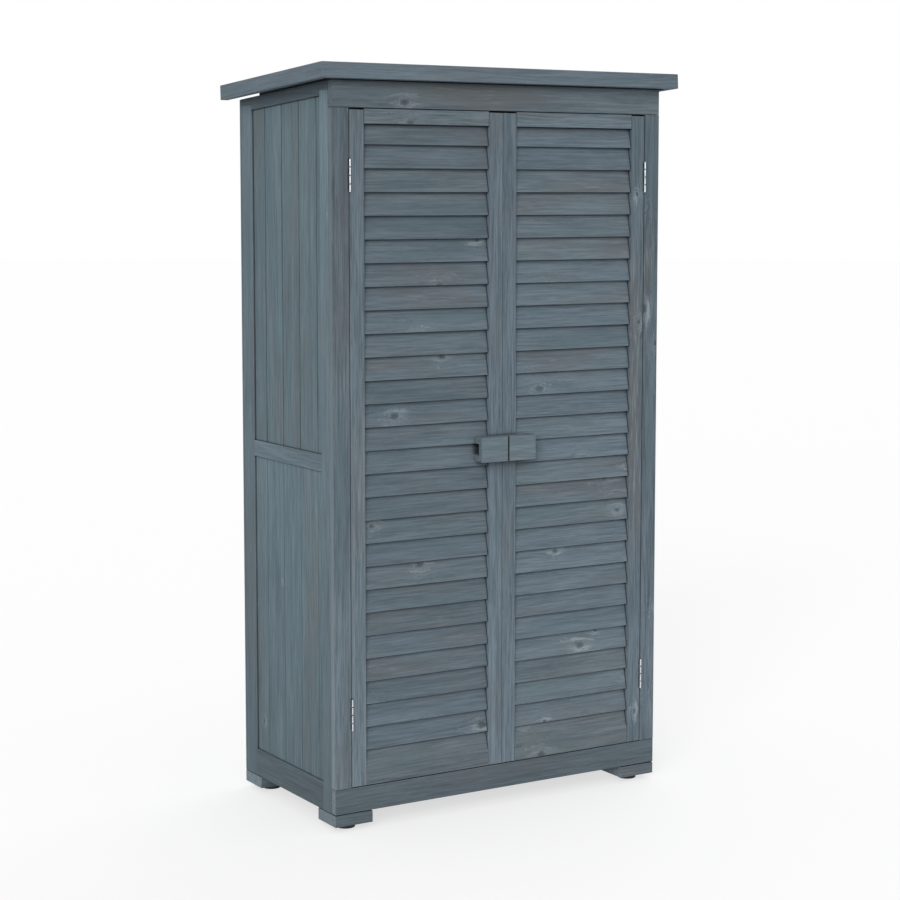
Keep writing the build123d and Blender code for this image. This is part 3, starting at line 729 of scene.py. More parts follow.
class Workbench:
    """Cuts boards, eases their edges and turns each node's boards into one dressed piece."""

    def __init__(self, seed: int) -> None:
        """Starts with an empty bench and its own run of chance."""
        self.chance = random.Random(seed)
        self.clear()

    def clear(self) -> None:
        """Puts an empty mesh on the bench, with the layers that the stain reads."""
        self.bm = bmesh.new()
        vectors = self.bm.verts.layers.float_vector
        self.layers = {name: vectors.new(name) for name in ("place", "half", "seed")}
        self.tints = self.bm.verts.layers.float_color.new("tint")
        self.done = self.bm.verts.layers.int.new("done")

    def fresh(self) -> list[bmesh.types.BMVert]:
        """The vertices of the board that is being cut."""
        return [v for v in self.bm.verts if not v[self.done]]

    def tint(self, light: float, warm: float) -> Vector:
        """A tint for one board, a little off the one that is asked for.

        Args:
            light: Its mean lightness, as a share of the stain's; for some boards it holds painted light or
                shade.
            warm: How warm it is; at 0 it is neutral, and below that it is cool.

        Returns:
            The tint, which the stain is multiplied by.
        """
        level = light * self.chance.gauss(1.0, 0.035)
        shift = warm + self.chance.uniform(-0.6, 0.6)
        return Vector((level * (1.0 + 0.022 * shift), level, level * (1.0 - 0.03 * shift), 1.0))

    def board(
        self, size: Sequence[float], place: Matrix, grain: Grain, ease: float = 0.001,
        cuts: Iterable[Cut] = (), groove: Optional[tuple[Vector, float]] = None, light: float = 1.0,
        warm: float = 0.0, fade: float = 0.0,
    ) -> None:
        """Cuts one board and stores on its vertices what the stain reads.

        Args:
            size: Its size along its own X, Y and Z.
            place: Where its middle goes.
            grain: The way its grain runs.
            ease: How far its edges are eased.
            cuts: Planes that cut it, each a point and the normal of the side that falls away.
            groove: Direction of its shown face and the chamfer along that face's long edges.
            light: Its mean lightness.
            warm: How warm its tint is.
            fade: How much darker it is at its far end than in its middle.
        """
        bmesh.ops.create_cube(self.bm, size=1.0, matrix=place @ Matrix.Diagonal((*size, 1.0)))
        for point, normal in cuts:
            self.saw(point, normal)
        if groove:
            self.chamfer(groove[0], groove[1], place, grain)
        else:
            self.soften(ease)
        self.store(size, place, grain, light, warm, fade)

    def store(
        self, size: Sequence[float], place: Matrix, grain: Grain, light: float, warm: float,
        fade: float = 0.0,
    ) -> None:
        """Stores on the vertices of the board on the bench what the stain reads, and puts the board by.

        Args:
            size: Its size along its own X, Y and Z.
            place: Where its middle is.
            grain: The way its grain runs.
            light: Its mean lightness.
            warm: How warm its tint is.
            fade: How much darker it is at its far end than in its middle.
        """
        back = place.inverted()
        seed = Vector([self.chance.random() for _ in range(3)])
        half = Vector([size[axis] / 2 for axis in grain.value])
        tint = self.tint(light, warm)
        for v in self.fresh():
            local = back @ v.co
            lie = Vector([local[axis] for axis in grain.value])
            v[self.layers["place"]] = lie
            v[self.layers["half"]] = half
            v[self.layers["seed"]] = seed
            v[self.tints] = tint * (1.0 - fade * lie.x / half.x)
            v[self.done] = 1

    def bevel(self, edges: list[bmesh.types.BMEdge], width: float, steps: int = 2) -> None:
        """Bevels edges of the board on the bench.

        Args:
            edges: The edges.
            width: How far the bevel reaches on each face.
            steps: How many faces round it off.
        """
        bmesh.ops.bevel(
            self.bm, geom=edges, offset=width, offset_type="OFFSET", segments=steps, profile=0.5,
            affect="EDGES", clamp_overlap=True, material=-1)

    def soften(self, ease: float) -> None:
        """Eases the sharp outer edges of the board on the bench.

        Args:
            ease: How far they are eased.
        """
        edges = {edge for v in self.fresh() for edge in v.link_edges}
        sharp = [edge for edge in edges if edge.calc_face_angle_signed() > SHARP_ANGLE]
        self.bevel(sharp, ease)

    def notched(
        self, across: Limits, corners: Sequence[tuple[float, float]], grain: Grain, ease: float,
        rounded: Optional[tuple[Side, float]] = None, light: float = 1.0, warm: float = 0.0,
    ) -> None:
        """Cuts a timber from its outline, seen from the side.

        Args:
            across: Its limits along X.
            corners: Its outline, as Y and Z.
            grain: The way its grain runs.
            ease: How far its edges are eased.
            rounded: The end whose top and bottom corners are rounded, and their radius.
            light: Its mean lightness.
            warm: How warm its tint is.
        """
        face = self.bm.faces.new([self.bm.verts.new((across[0], y, z)) for y, z in corners])
        grown = bmesh.ops.extrude_face_region(self.bm, geom=[face])["geom"]
        far = [part for part in grown if isinstance(part, bmesh.types.BMVert)]
        bmesh.ops.translate(self.bm, verts=far, vec=(across[1] - across[0], 0.0, 0.0))
        bmesh.ops.recalc_face_normals(self.bm, faces=list({f for v in self.fresh() for f in v.link_faces}))
        ys, zs = zip(*corners)
        if rounded:
            end = across[1] if rounded[0] is Side.RIGHT else across[0]
            rim = [
                edge for edge in {e for v in self.fresh() for e in v.link_edges}
                if all(abs(v.co.x - end) < 1e-6 for v in edge.verts)
                and edge.verts[0].co.z == edge.verts[1].co.z and edge.verts[0].co.z in (min(zs), max(zs))
            ]
            self.bevel(rim, rounded[1], ROUNDING_STEPS)
        self.soften(ease)
        size = (across[1] - across[0], max(ys) - min(ys), max(zs) - min(zs))
        middle = (sum(across) / 2, (max(ys) + min(ys)) / 2, (max(zs) + min(zs)) / 2)
        self.store(size, Matrix.Translation(middle), grain, light, warm)

    def saw(self, point: Vector, normal: Vector) -> None:
        """Cuts the board on the bench with a plane and closes the cut.

        Args:
            point: A point of the plane.
            normal: The way to the side that falls away.
        """
        verts = self.fresh()
        geom = [*verts, *{e for v in verts for e in v.link_edges}, *{f for v in verts for f in v.link_faces}]
        cut = bmesh.ops.bisect_plane(
            self.bm, geom=geom, dist=1e-6, plane_co=point, plane_no=normal, clear_outer=True)
        rim = [part for part in cut["geom_cut"] if isinstance(part, bmesh.types.BMEdge)]
        if rim:
            bmesh.ops.edgeloop_fill(self.bm, edges=rim)
        faces = list({f for v in self.fresh() for f in v.link_faces})
        bmesh.ops.recalc_face_normals(self.bm, faces=faces)

    def chamfer(self, facing: Vector, width: float, place: Matrix, grain: Grain) -> None:
        """Chamfers the long edges of a board's shown face.

        Args:
            facing: The way that the face looks.
            width: How far the chamfer reaches.
            place: Where the board's middle is.
            grain: The way its grain runs.
        """
        run = (place.to_3x3() @ Vector([float(axis == grain.value[0]) for axis in range(3)])).normalized()
        verts = self.fresh()
        reach = max(v.co.dot(facing) for v in verts)
        edges = []
        for edge in {e for v in verts for e in v.link_edges}:
            first, second = edge.verts
            level = min(first.co.dot(facing), second.co.dot(facing)) > reach - 1e-5
            if level and abs((second.co - first.co).normalized().dot(run)) > 0.95:
                edges.append(edge)
        self.bevel(edges, width)

    def block(
        self, low: Sequence[float], high: Sequence[float], grain: Grain, gap: float = HAIRLINE,
        **how: object,
    ) -> None:
        """Cuts a board that lies square between two corners.

        Args:
            low: Its lowest corner.
            high: Its highest corner.
            grain: The way its grain runs.
            gap: How far each face stays inside, so that joints show.
            **how: What else the board takes.
        """
        size = [b - a - 2 * gap for a, b in zip(low, high)]
        middle = Vector([(a + b) / 2 for a, b in zip(low, high)])
        self.board(size, Matrix.Translation(middle), grain, **how)

    def piece(self, node: str, finish: Finish) -> bpy.types.Object:
        """Makes one object of the boards on the bench, in place of a node of the frame.

        Args:
            node: The node that it stands for.
            finish: Its finish.

        Returns:
            The object.
        """
        name = f"{node}_timber"
        self.bm.verts.layers.int.remove(self.done)
        mesh = bpy.data.meshes.new(name)
        self.bm.to_mesh(mesh)
        self.bm.free()
        self.clear()
        mesh.materials.append(finish.material())
        made = bpy.data.objects.new(name, mesh)
        bpy.context.scene.collection.objects.link(made)
        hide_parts(node)
        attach(made, frame["nodes"][node]["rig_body"])
        log.info("%s: %d faces", name, len(mesh.polygons))
        return made

    def single(self, node: str, grain: Grain, finish: Finish, slot: str, **how: object) -> None:
        """Dresses a node that is one square board, from its box in the frame.

        Args:
            node: The node.
            grain: The way its grain runs.
            finish: Its finish.
            slot: The record's material slot; not used.
            **how: What else the board takes.
        """
        low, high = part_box(node)
        self.block(low, high, grain, **how)
        self.piece(node, finish)


def board_limits(start: float, stop: float, width: float, first: float, seam: float) -> list[Limits]:
    """Limits of the boards that fill a span.

    Args:
        start: Where the span begins.
        stop: Where it ends.
        width: Width of a whole board.
        first: Width of the first board.
        seam: Gap between neighbours.

    Returns:
        Each board's limits; the last board takes what is left.
    """
    joints = [start + first]
    while joints[-1] + width < stop - width / 10:
        joints.append(joints[-1] + width)
    starts = [start, *[joint + seam / 2 for joint in joints]]
    stops = [*[joint - seam / 2 for joint in joints], stop]
    return list(zip(starts, stops))


@dataclass
class Roof:
    """Lean-to roof: deck, felt, three fascias and bearers, all laid along one slope."""

    front: float = -0.23565
    top: float = 1.6
    slope: float = math.radians(3.37)
    run: float = 0.476224
    half: float = 0.4476
    fascia_height: float = 0.032
    fascia_thick: float = 0.018
    felt: float = 0.002
    deck: float = 0.01
    deck_board: float = 0.092
    seam: float = 0.0004
    bearer_width: float = 0.02
    bearer_height: float = 0.045
    bearer_run: Limits = (0.043976, 0.394582)
    bearer_outer: float = 0.393
    front_light: float = 0.93
    side_light: float = 0.94
    deck_light: float = 1.02
    deck_ease: float = 0.0006

    @property
    def normal(self) -> Vector:
        """The way that the roof faces."""
        return Vector((0.0, math.sin(self.slope), math.cos(self.slope)))

    def place(self, across: Limits, down: Limits, depth: Limits) -> tuple[list[float], Matrix]:
        """Size and place of a timber that lies along the roof.

        Args:
            across: Its limits along X.
            down: Its limits down the slope.
            depth: Its limits below the roof's top face.

        Returns:
            Its size and the place of its middle.
        """
        size = [across[1] - across[0], down[1] - down[0], depth[1] - depth[0]]
        middle = Vector((sum(across) / 2, sum(down) / 2, -sum(depth) / 2))
        lie = Matrix.Translation((0.0, self.front, self.top)) @ Matrix.Rotation(-self.slope, 4, "X")
        return size, lie @ Matrix.Translation(middle)

    def mitre(self, side: Side) -> Cut:
        """The cut where the front strip meets a side strip; the side strip's part falls away.

        Args:
            side: Which side strip.

        Returns:
            A point of the cut and the way to what falls away.
        """
        lie = Matrix.Rotation(-self.slope, 3, "X")
        corner = Vector((side.value * self.half, self.front, self.top))
        return corner, lie @ Vector((float(side.value), 1.0, 0.0)).normalized()

    def build(self, bench: Workbench) -> None:
        """Builds the roof's timbers and dresses its felt.

        Args:
            bench: Where the timbers are cut.
        """
        inner = self.half - self.fascia_thick
        sloped = (self.fascia_thick, self.run)
        edge = (0.0, self.fascia_height)
        mitres = [self.mitre(side) for side in Side]
        size, place = self.place((-self.half, self.half), (0.0, self.fascia_thick), edge)
        bench.board(size, place, Grain.X, cuts=mitres, light=self.front_light)
        bench.piece("front_fascia", PANEL_STAIN)
        for side, (point, normal) in zip(Side, mitres):
            across = tuple(sorted((side.value * inner, side.value * self.half)))
            size, place = self.place(across, (0.0, self.run), edge)
            bench.board(size, place, Grain.Y, cuts=[(point, -normal)], light=self.side_light)
            bench.piece(f"{side.label}_fascia", PANEL_STAIN)
        under = self.felt + self.deck
        for row in board_limits(*sloped, self.deck_board, self.deck_board, self.seam):
            size, place = self.place((-inner, inner), row, (self.felt, under))
            bench.board(size, place, Grain.X_FLAT, self.deck_ease, light=self.deck_light)
        bench.piece("roof_deck", INNER_STAIN)
        outer = self.bearer_outer
        spans = [(-outer, self.bearer_width - outer), (outer - self.bearer_width, outer)]
        spans.append((-self.bearer_width / 2, self.bearer_width / 2))
        for span in spans:
            bench.board(*self.place(span, self.bearer_run, (under, under + self.bearer_height)), Grain.Y)
        bench.piece("roof_bearers", INNER_STAIN)
        dress("roof_felt", ROOF_FELT)


@dataclass
class FrontFrame:
    """Header, plinth and posts round the doors, and the strip that the doors stop against."""

    roof: Roof
    ease: float = 0.0011
    # Painted shade: header_light paints the header darker for the shade under the roof's overhang.
    header_light: float = 0.9
    header_warm: float = 0.7
    header_fade: float = -0.04
    post_gap: float = 0.0001
    # Painted shade: the post fades paint the posts darker towards the top.
    post_lights: Limits = (0.97, 0.93)
    post_fades: Limits = (0.19, 0.12)
    stop_lap: float = 0.026
    stop_rebate: float = 0.0043

    def build(self, bench: Workbench) -> None:
        """Builds the front frame's timbers.

        Args:
            bench: Where the timbers are cut.
        """
        low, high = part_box("header_board")
        cut = (Vector((0.0, low.y, high.z)), self.roof.normal)
        bench.block(
            low, high, Grain.X, ease=self.ease, cuts=[cut], light=self.header_light, warm=self.header_warm,
            fade=self.header_fade)
        bench.piece("header_board", HEADER_STAIN)
        bench.single("plinth_board", Grain.X, BASE_STAIN, "stained_frame", ease=self.ease)
        stains, eases = (FRAME_STAIN, FLAMED_STAIN), (self.ease / 2, self.ease)
        for side, stain, light, fade, ease in zip(Side, stains, self.post_lights, self.post_fades, eases):
            bench.single(
                f"{side.label}_post", Grain.Z, stain, "stained_frame", gap=self.post_gap, ease=ease,
                light=light, fade=fade)
        low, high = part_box("door_stop")
        sill = high.z - self.stop_lap
        bench.block((low.x, low.y, sill), high, Grain.X)
        bench.block((low.x, low.y + self.stop_rebate, low.z), (high.x, high.y, sill), Grain.X)
        bench.piece("door_stop", INNER_STAIN)


@dataclass
class SidePanel:
    """One side wall: a frame with an upper and a lower field of grooved boards."""

    side: Side
    roof: Roof
    board: float = 0.079
    first: float = 0.0235
    seam: float = 0.0004
    groove: float = 0.002
    tight_groove: float = 0.0006
    lap: float = 0.011
    gap: float = 0.0001
    ease: float = 0.0006
    # Painted light: the negative fades paint the stiles and lower boards lighter towards the top.
    front_light: float = 1.06
    front_fade: float = -0.18
    back_light: float = 0.86
    back_fade: float = -0.11
    # Painted shade: top_light paints the top rail darker for the shade under the roof's overhang.
    top_light: float = 0.62
    mid_light: float = 1.05
    bottom_light: float = 0.64
    upper_light: float = 0.93
    lower_light: float = 0.99
    lower_fade: float = -0.1

    def build(self, bench: Workbench) -> None:
        """Builds the frame and both fields of boards.

        Args:
            bench: Where the timbers are cut.
        """
        name = self.side.label
        how = {"gap": self.gap, "ease": self.ease}
        for part, light, fade in (
            ("front", self.front_light, self.front_fade),
            ("back", self.back_light, self.back_fade),
        ):
            node = f"{name}_{part}_stile"
            bench.single(node, Grain.Z_SIDE, SIDE_STAIN, "stained_frame", light=light, fade=fade, **how)
        self.top_rail(bench, f"{name}_top_rail")
        for part, light in (("mid", self.mid_light), ("bottom", self.bottom_light)):
            bench.single(f"{name}_{part}_rail", Grain.Y, SIDE_STAIN, "stained_frame", light=light, **how)
        self.fill(bench, f"{name}_lower_boards", False)
        self.fill(bench, f"{name}_upper_boards", True)

    def top_rail(self, bench: Workbench, node: str) -> None:
        """Cuts the rail under the roof, which is notched over both stiles.

        Args:
            bench: Where it is cut.
            node: The node that it stands for.
        """
        low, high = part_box(node)
        front, back = [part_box(f"{self.side.label}_{part}_stile") for part in ("front", "back")]
        inner = front[1].y, back[0].y
        laps = front[1].z, back[1].z
        top = high.z - (high.y - low.y) * math.tan(self.roof.slope)
        bench.notched((low.x, high.x), (
            (low.y, laps[0]),
            (inner[0], laps[0]),
            (inner[0], laps[0] - self.lap),
            (inner[1], laps[1] - self.lap),
            (inner[1], laps[1]),
            (high.y, laps[1]),
            (high.y, top),
            (low.y, high.z),
        ), Grain.Y, self.ease, light=self.top_light)
        bench.piece(node, SIDE_STAIN)

    def fill(self, bench: Workbench, node: str, sloped: bool) -> None:
        """Fills one field with upright boards.

        Args:
            bench: Where the timbers are cut.
            node: The node that they stand for.
            sloped: Whether their tops follow the roof.
        """
        low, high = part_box(node)
        facing = Vector((float(self.side.value), 0.0, 0.0))
        cuts = [(Vector((0.0, low.y, high.z)), self.roof.normal)] if sloped else []
        if sloped:
            stain, groove, light, fade = BOARD_STAIN, self.groove, self.upper_light, 0.0
        else:
            stain, groove = TIGHT_BOARD_STAIN, self.tight_groove
            light, fade = self.lower_light, self.lower_fade
        for y in board_limits(low.y, high.y, self.board, self.first, self.seam):
            bench.block(
                (low.x, y[0], low.z), (high.x, y[1], high.z), Grain.Z_SIDE, cuts=cuts,
                groove=(facing, groove), light=light, fade=fade)
        bench.piece(node, stain)


@dataclass
class BackWall:
    """Upright boards across the back, on three rails."""

    board: float = 0.0826
    seam: float = 0.0004
    groove: float = 0.0016

    def build(self, bench: Workbench) -> None:
        """Builds the boards and the rails.

        Args:
            bench: Where the timbers are cut.
        """
        low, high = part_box("back_boards")
        groove = (Vector((0.0, 1.0, 0.0)), self.groove)
        for x in board_limits(low.x, high.x, self.board, self.board, self.seam):
            bench.block((x[0], low.y, low.z), (x[1], high.y, high.z), Grain.Z, groove=groove)
        bench.piece("back_boards", BOARD_STAIN)
        for rail in ("top", "mid", "bottom"):
            bench.single(f"back_{rail}_rail", Grain.X, INNER_STAIN, "inner_timber")


@dataclass
class Inside:
    """Floor on its bearers, and two plank shelves on cleats."""

    floor_board: float = 0.0786
    seam: float = 0.0004
    bearer: float = 0.02
    plank: float = 0.068
    plank_gap: float = 0.008
    cleat_thick: float = 0.02
    cleat_height: float = 0.028
    floor_ease: float = 0.0008
    plank_ease: float = 0.0014

    def build(self, bench: Workbench) -> None:
        """Builds the floor, the shelves and what carries them.

        Args:
            bench: Where the timbers are cut.
        """
        low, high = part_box("floor_bearers")
        for y in (low.y, high.y - self.bearer):
            bench.block((low.x, y, low.z), (high.x, y + self.bearer, high.z), Grain.X)
        bench.piece("floor_bearers", INNER_STAIN)
        low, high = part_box("floor_boards")
        for x in board_limits(low.x, high.x, self.floor_board, self.floor_board, self.seam):
            bench.block((x[0], low.y, low.z), (x[1], high.y, high.z), Grain.Y_FLAT, ease=self.floor_ease)
        bench.piece("floor_boards", INNER_STAIN)
        for node in ("lower_shelf", "upper_shelf"):
            low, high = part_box(node)
            depth = high.y - low.y
            count = math.floor((depth + self.plank_gap) / (self.plank + self.plank_gap) + 1e-6)
            step = (depth - self.plank) / (count - 1)
            for i in range(count):
                y = low.y + i * step
                bench.block(
                    (low.x, y, low.z), (high.x, y + self.plank, high.z), Grain.X_FLAT, ease=self.plank_ease)
            bench.piece(node, INNER_STAIN)
        low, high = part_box("shelf_cleats")
        for z in (low.z, high.z - self.cleat_height):
            for x in (low.x, high.x - self.cleat_thick):
                bench.block((x, low.y, z), (x + self.cleat_thick, high.y, z + self.cleat_height), Grain.Y)
        bench.piece("shelf_cleats", INNER_STAIN)


@dataclass
class Feet:
    """A block under each corner, on a black glide."""

    joint: float = 0.0008
    ease: float = 0.0014
    front_lights: Limits = (0.88, 1.01)
    back_lights: Limits = (1.04, 0.95)

    def build(self, bench: Workbench) -> None:
        """Builds the blocks and dresses the glides.

        Args:
            bench: Where the timbers are cut.
        """
        for row, lights in (("front", self.front_lights), ("back", self.back_lights)):
            for side, light in zip(Side, lights):
                low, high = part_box(f"foot_{row}_{side.label}")
                high.z -= self.joint
                bench.block(low, high, Grain.X, ease=self.ease, light=light)
                bench.piece(f"foot_{row}_{side.label}", BASE_STAIN)
        dress("glides", GLIDE_PLASTIC)


@dataclass
class LouvreDoor:
    """One door: stiles and rails round tilted slats, each lapping over the one below."""

    side: Side
    frame_light: float
    slat_light: float
    hinge_snug: float
    hinge_stain: StainedFir
    # Painted shade: the stile fades paint the stiles darker towards the top.
    hinge_fade: float
    meeting_snug: float = 0.00075
    meeting_fade: float = 0.09
    pitch: float = 0.04875
    reveal: float = 0.0411
    overlap: float = 0.007
    thick: float = 0.0065
    setback: float = 0.0029
    tilt: float = math.radians(11.1)
    count: int = 27
    flat: float = 0.032
    bevel: float = math.radians(13.25)
    stile_ease: float = 0.0004
    lip: float = 0.0032
    lip_setback: float = 0.012
    ease: float = 0.0006
    top_light: float = 0.98
    top_warm: float = 0.4
    bottom_light: float = 0.93
    bottom_warm: float = 2.2
    slat_warm: float = 0.1
    # Painted shade: the top slats, under the roof's overhang, are painted darker by up to this share.
    shaded_slats: int = 10
    shade: float = 0.1

    def build(self, bench: Workbench) -> None:
        """Builds the door's frame and its slats, and dresses its hinge leaves.

        Args:
            bench: Where the timbers are cut.
        """
        name = f"{self.side.label}_door"
        self.stile(
            bench, f"{name}_hinge_stile", self.hinge_stain, self.hinge_fade, self.side.value,
            self.hinge_snug, self.lip)
        self.stile(
            bench, f"{name}_meeting_stile", FRAME_STAIN, self.meeting_fade, -self.side.value,
            self.meeting_snug)
        bench.single(
            f"{name}_top_rail", Grain.X, FRAME_STAIN, "stained_frame", ease=self.ease, light=self.top_light,
            warm=self.top_warm)
        low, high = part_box(f"{name}_bottom_rail")
        flat = low.z + self.flat
        planed = low.y + (high.z - flat) * math.tan(self.bevel)
        bench.notched((low.x, high.x), (
            (low.y, low.z),
            (high.y, low.z),
            (high.y, high.z),
            (planed, high.z),
            (low.y, flat),
        ), Grain.X, self.ease, light=self.bottom_light, warm=self.bottom_warm)
        bench.piece(f"{name}_bottom_rail", SLAT_STAIN)
        self.slats(bench, name)
        dress(f"{name}_hinge_leaves", ZINC)
        dress(f"{name}_hinge_screws", ZINC)

    def stile(
        self, bench: Workbench, node: str, stain: StainedFir, fade: float, outer: int, snug: float,
        lip: float = 0.0,
    ) -> None:
        """Builds a stile whose outer edge is planed back from the front, for a door that shuts closely.

        Args:
            bench: Where it is cut.
            node: The node that it stands for.
            stain: Its finish.
            fade: How much darker it is at its top than in its middle, as painted shade.
            outer: The sign of X that its outer edge faces.
            snug: How far its front reaches into the gap beside it.
            lip: How far the back of its top rises, so that no light falls through over it.
        """
        low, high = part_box(node)
        if lip:
            bench.block(
                (low.x, low.y + self.lip_setback, high.z - lip), (high.x, high.y, high.z + lip + HAIRLINE),
                Grain.Z, ease=self.stile_ease)
        edge = (high if outer > 0 else low).x + outer * snug
        (high if outer > 0 else low).x = edge + outer * HAIRLINE
        point = Vector((edge, low.y + 2 * self.stile_ease, 0.0))
        normal = Vector((outer * (high.y - low.y), snug, 0.0)).normalized()
        bench.block(
            low, high, Grain.Z, ease=self.stile_ease, cuts=[(point, normal)], light=self.frame_light,
            fade=fade)
        bench.piece(node, stain)

    def slats(self, bench: Workbench, name: str) -> None:
        """Builds the slats, the first cut off under the top rail.

        Args:
            bench: Where the timbers are cut.
            name: The door's name.
        """
        low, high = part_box(f"{name}_slats")
        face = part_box(f"{name}_top_rail")[0].y + self.setback
        length = (self.pitch + self.overlap) / math.cos(self.tilt)
        lean = Matrix.Rotation(-self.tilt, 4, "X")
        size = (high.x - low.x, self.thick, length)
        under_rail = (Vector((0.0, 0.0, high.z)), Vector((0.0, 0.0, 1.0)))
        for i in range(self.count):
            edge = high.z - self.reveal - i * self.pitch
            corner = Matrix.Translation(((low.x + high.x) / 2, face, edge))
            place = corner @ lean @ Matrix.Translation((0.0, self.thick / 2, length / 2))
            cuts = [under_rail] if i == 0 else []
            # Painted shade under the roof's overhang on the top slats.
            light = self.slat_light * (1.0 - self.shade * max(0.0, 1.0 - i / self.shaded_slats))
            bench.board(size, place, Grain.X, self.ease, cuts, light=light, warm=self.slat_warm)
        bench.piece(f"{name}_slats", SLAT_STAIN)


@dataclass
class Latch:
    """Two bridge blocks on the doors and the bolt that slides between them."""

    plate: float = 0.0105
    leg: float = 0.015
    corner: float = 0.004
    shave: float = 0.0007
    ease: float = 0.0009
    keeper_light: float = 0.97
    guide_light: float = 1.07

    def build(self, bench: Workbench) -> None:
        """Builds the keeper, the guide and the bolt.

        Args:
            bench: Where the timbers are cut.
        """
        for node, side, light in (
            ("latch_keeper", Side.LEFT, self.keeper_light),
            ("bolt_guide", Side.RIGHT, self.guide_light),
        ):
            low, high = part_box(node)
            slot = low.y + self.plate
            (low if side is Side.RIGHT else high).x += side.value * self.shave
            bench.notched((low.x, high.x), (
                (low.y, low.z),
                (high.y, low.z),
                (high.y, low.z + self.leg),
                (slot, low.z + self.leg),
                (slot, high.z - self.leg),
                (high.y, high.z - self.leg),
                (high.y, high.z),
                (low.y, high.z),
            ), Grain.X, self.ease, (side, self.corner), light=light)
            bench.piece(node, LATCH_STAIN)
        bench.single("latch_bolt", Grain.X, LATCH_STAIN, "stained_frame", ease=self.ease)


def dress(node: str, finish: Finish) -> None:
    """Gives a node of the frame a finish and keeps its shape.

    Args:
        node: The node.
        finish: Its finish.
    """
    target = frame["nodes"][node]
    target.data.materials.clear()
    target.data.materials.append(finish.material())
    log.info("%s: dressed as %s", node, finish.name)


@dataclass(frozen=True)
class Lamp:
    """A large soft light, so far away that it falls evenly on the shed and the floor.

    Its spread is how wide it looks from the shed, in degrees, and its strength is how much light it
    gives a face turned to it.
    """

    name: str
    towards: Point
    spread: float
    strength: float
    distance: float = 6.0

    def hang(self) -> None:
        """Hangs the light on its own side of the shed."""
        data = bpy.data.lights.new(self.name, "SUN")
        data.angle = math.radians(self.spread)
        data.energy = self.strength
        made = bpy.data.objects.new(self.name, data)
        towards = Vector(self.towards)
        made.location = self.distance * towards
        made.rotation_mode = "QUATERNION"
        made.rotation_quaternion = (-towards).to_track_quat("-Z", "Y")
        bpy.context.scene.collection.objects.link(made)


KEY_LIGHT = Lamp("key_light", (-0.63, -0.68, 0.36), 35.0, 1.85)
FILL_LIGHT = Lamp("fill_light", (0.7, 0.5, 0.5), 60.0, 0.8)


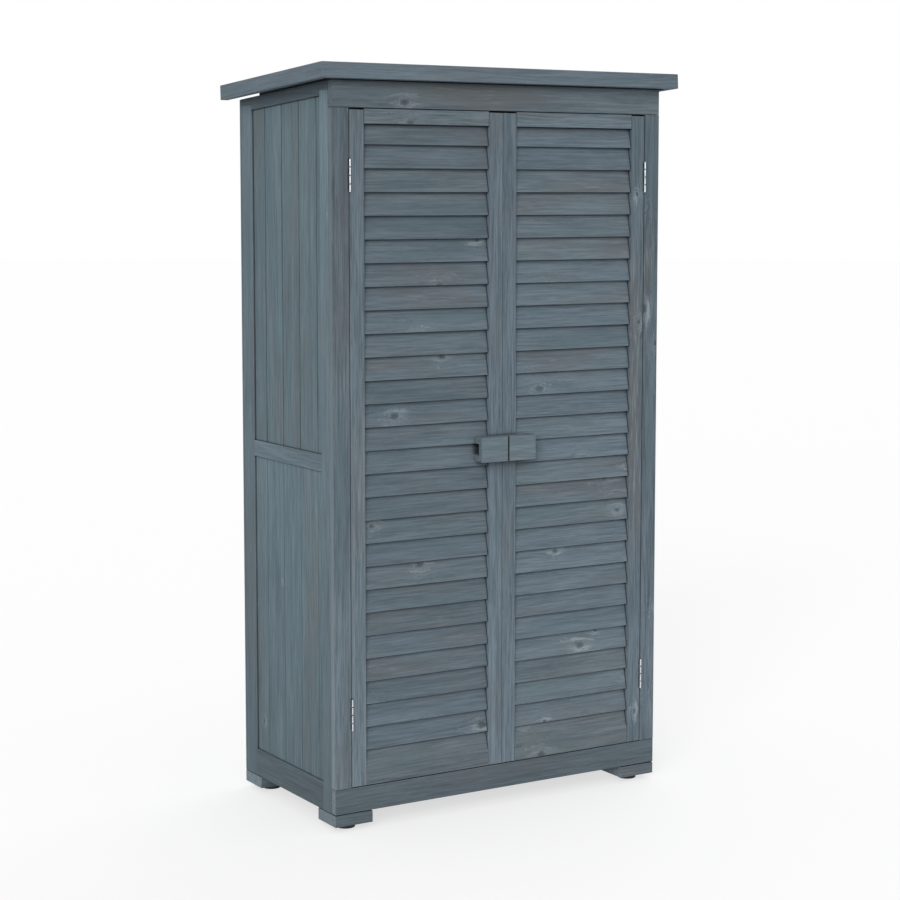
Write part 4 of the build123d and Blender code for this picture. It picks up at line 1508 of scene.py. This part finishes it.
@dataclass
class Studio:
    """Pale floor, soft light all round, a soft key and fill light and the camera."""

    floor_reach: float = 40.0
    floor_shade: float = 0.36
    lift: float = 0.65
    sky: float = 0.6
    lens: float = 84.202
    sensor: float = 36.0
    shift: float = -0.045
    yaw: float = math.radians(31.3587)
    pitch: float = math.radians(-5.8062)
    stand: Point = (-2.44588, -4.00983, 1.33193)

    def build(self) -> None:
        """Sets up the floor, the light and the camera."""
        self.floor()
        self.world()
        KEY_LIGHT.hang()
        FILL_LIGHT.hang()
        self.camera()
        bpy.context.scene.view_settings.view_transform = "Standard"

    @staticmethod
    def sees_background(graph: Graph) -> Socket:
        """One where a ray shows the background, from the camera or in a reflection.

        Args:
            graph: The graph of the floor or the sky.

        Returns:
            The mask's socket.
        """
        path = graph.add("ShaderNodeLightPath")
        seen = graph.math("MAXIMUM", path.outputs["Is Camera Ray"], path.outputs["Is Glossy Ray"])
        return graph.math("MAXIMUM", seen, path.outputs["Is Transmission Ray"])

    def floor(self) -> None:
        """Lays a large plain floor that stays white away from the shed's shadow."""
        bm = bmesh.new()
        bmesh.ops.create_circle(bm, cap_ends=True, segments=96, radius=self.floor_reach)
        mesh = bpy.data.meshes.new("studio_floor")
        bm.to_mesh(mesh)
        bm.free()
        made = bpy.data.objects.new("studio_floor", mesh)
        bpy.context.scene.collection.objects.link(made)
        material = bpy.data.materials.new("pale_floor")
        material.use_nodes = True
        material.node_tree.nodes.clear()
        graph = Graph(material.node_tree)
        matt = graph.add("ShaderNodeBsdfDiffuse")
        matt.inputs["Color"].default_value = (self.floor_shade,) * 3 + (1.0,)
        glow = graph.add("ShaderNodeEmission")
        graph.feed(glow.inputs["Strength"], graph.math("MULTIPLY", self.sees_background(graph), self.lift))
        both = graph.add("ShaderNodeAddShader")
        graph.feed(both.inputs[0], matt.outputs[0])
        graph.feed(both.inputs[1], glow.outputs[0])
        graph.feed(graph.add("ShaderNodeOutputMaterial").inputs["Surface"], both.outputs[0])
        mesh.materials.append(material)

    def world(self) -> None:
        """Soft light from all round, with a white background where it is seen."""
        world = bpy.data.worlds.new("studio_sky")
        world.use_nodes = True
        world.node_tree.nodes.clear()
        graph = Graph(world.node_tree)
        back = graph.add("ShaderNodeBackground")
        seen = self.sees_background(graph)
        graph.feed(back.inputs["Strength"], graph.math("MULTIPLY_ADD", seen, 1.0 - self.sky, self.sky))
        graph.feed(graph.add("ShaderNodeOutputWorld").inputs["Surface"], back.outputs[0])
        back.inputs["Color"].default_value = (1.0, 1.0, 1.0, 1.0)
        bpy.context.scene.world = world

    def camera(self) -> None:
        """Stands the camera where the shed is seen from."""
        data = bpy.data.cameras.new("camera")
        data.lens = self.lens
        data.sensor_width = self.sensor
        data.shift_y = self.shift
        made = bpy.data.objects.new("camera", data)
        made.location = self.stand
        level = math.cos(self.pitch)
        gaze = Vector((math.sin(self.yaw) * level, math.cos(self.yaw) * level, math.sin(self.pitch)))
        made.rotation_mode = "QUATERNION"
        made.rotation_quaternion = gaze.to_track_quat("-Z", "Y")
        bpy.context.scene.collection.objects.link(made)
        bpy.context.scene.camera = made


def main() -> None:
    """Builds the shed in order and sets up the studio."""
    logging.basicConfig(level=logging.INFO, format="%(name)s %(message)s")
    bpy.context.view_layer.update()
    bench = Workbench(seed=7)
    roof = Roof()
    roof.build(bench)
    FrontFrame(roof).build(bench)
    for side in Side:
        SidePanel(side, roof).build(bench)
    BackWall().build(bench)
    Inside().build(bench)
    Feet().build(bench)
    # The hinge fades paint the hinge stiles darker towards the top, as painted shade.
    LouvreDoor(
        Side.LEFT, frame_light=1.1, slat_light=0.92, hinge_snug=0.001, hinge_stain=FRAME_STAIN,
        hinge_fade=0.18,
    ).build(bench)
    LouvreDoor(
        Side.RIGHT, frame_light=1.01, slat_light=1.02, hinge_snug=0.00066, hinge_stain=FLAMED_STAIN,
        hinge_fade=0.09,
    ).build(bench)
    Latch().build(bench)
    dress("frame_hinge_leaves", ZINC)
    dress("frame_hinge_screws", ZINC)
    dress("hinge_pins", PIN_STEEL)
    Studio().build()
    bpy.context.view_layer.update()


if __name__ == "__main__":
    main()
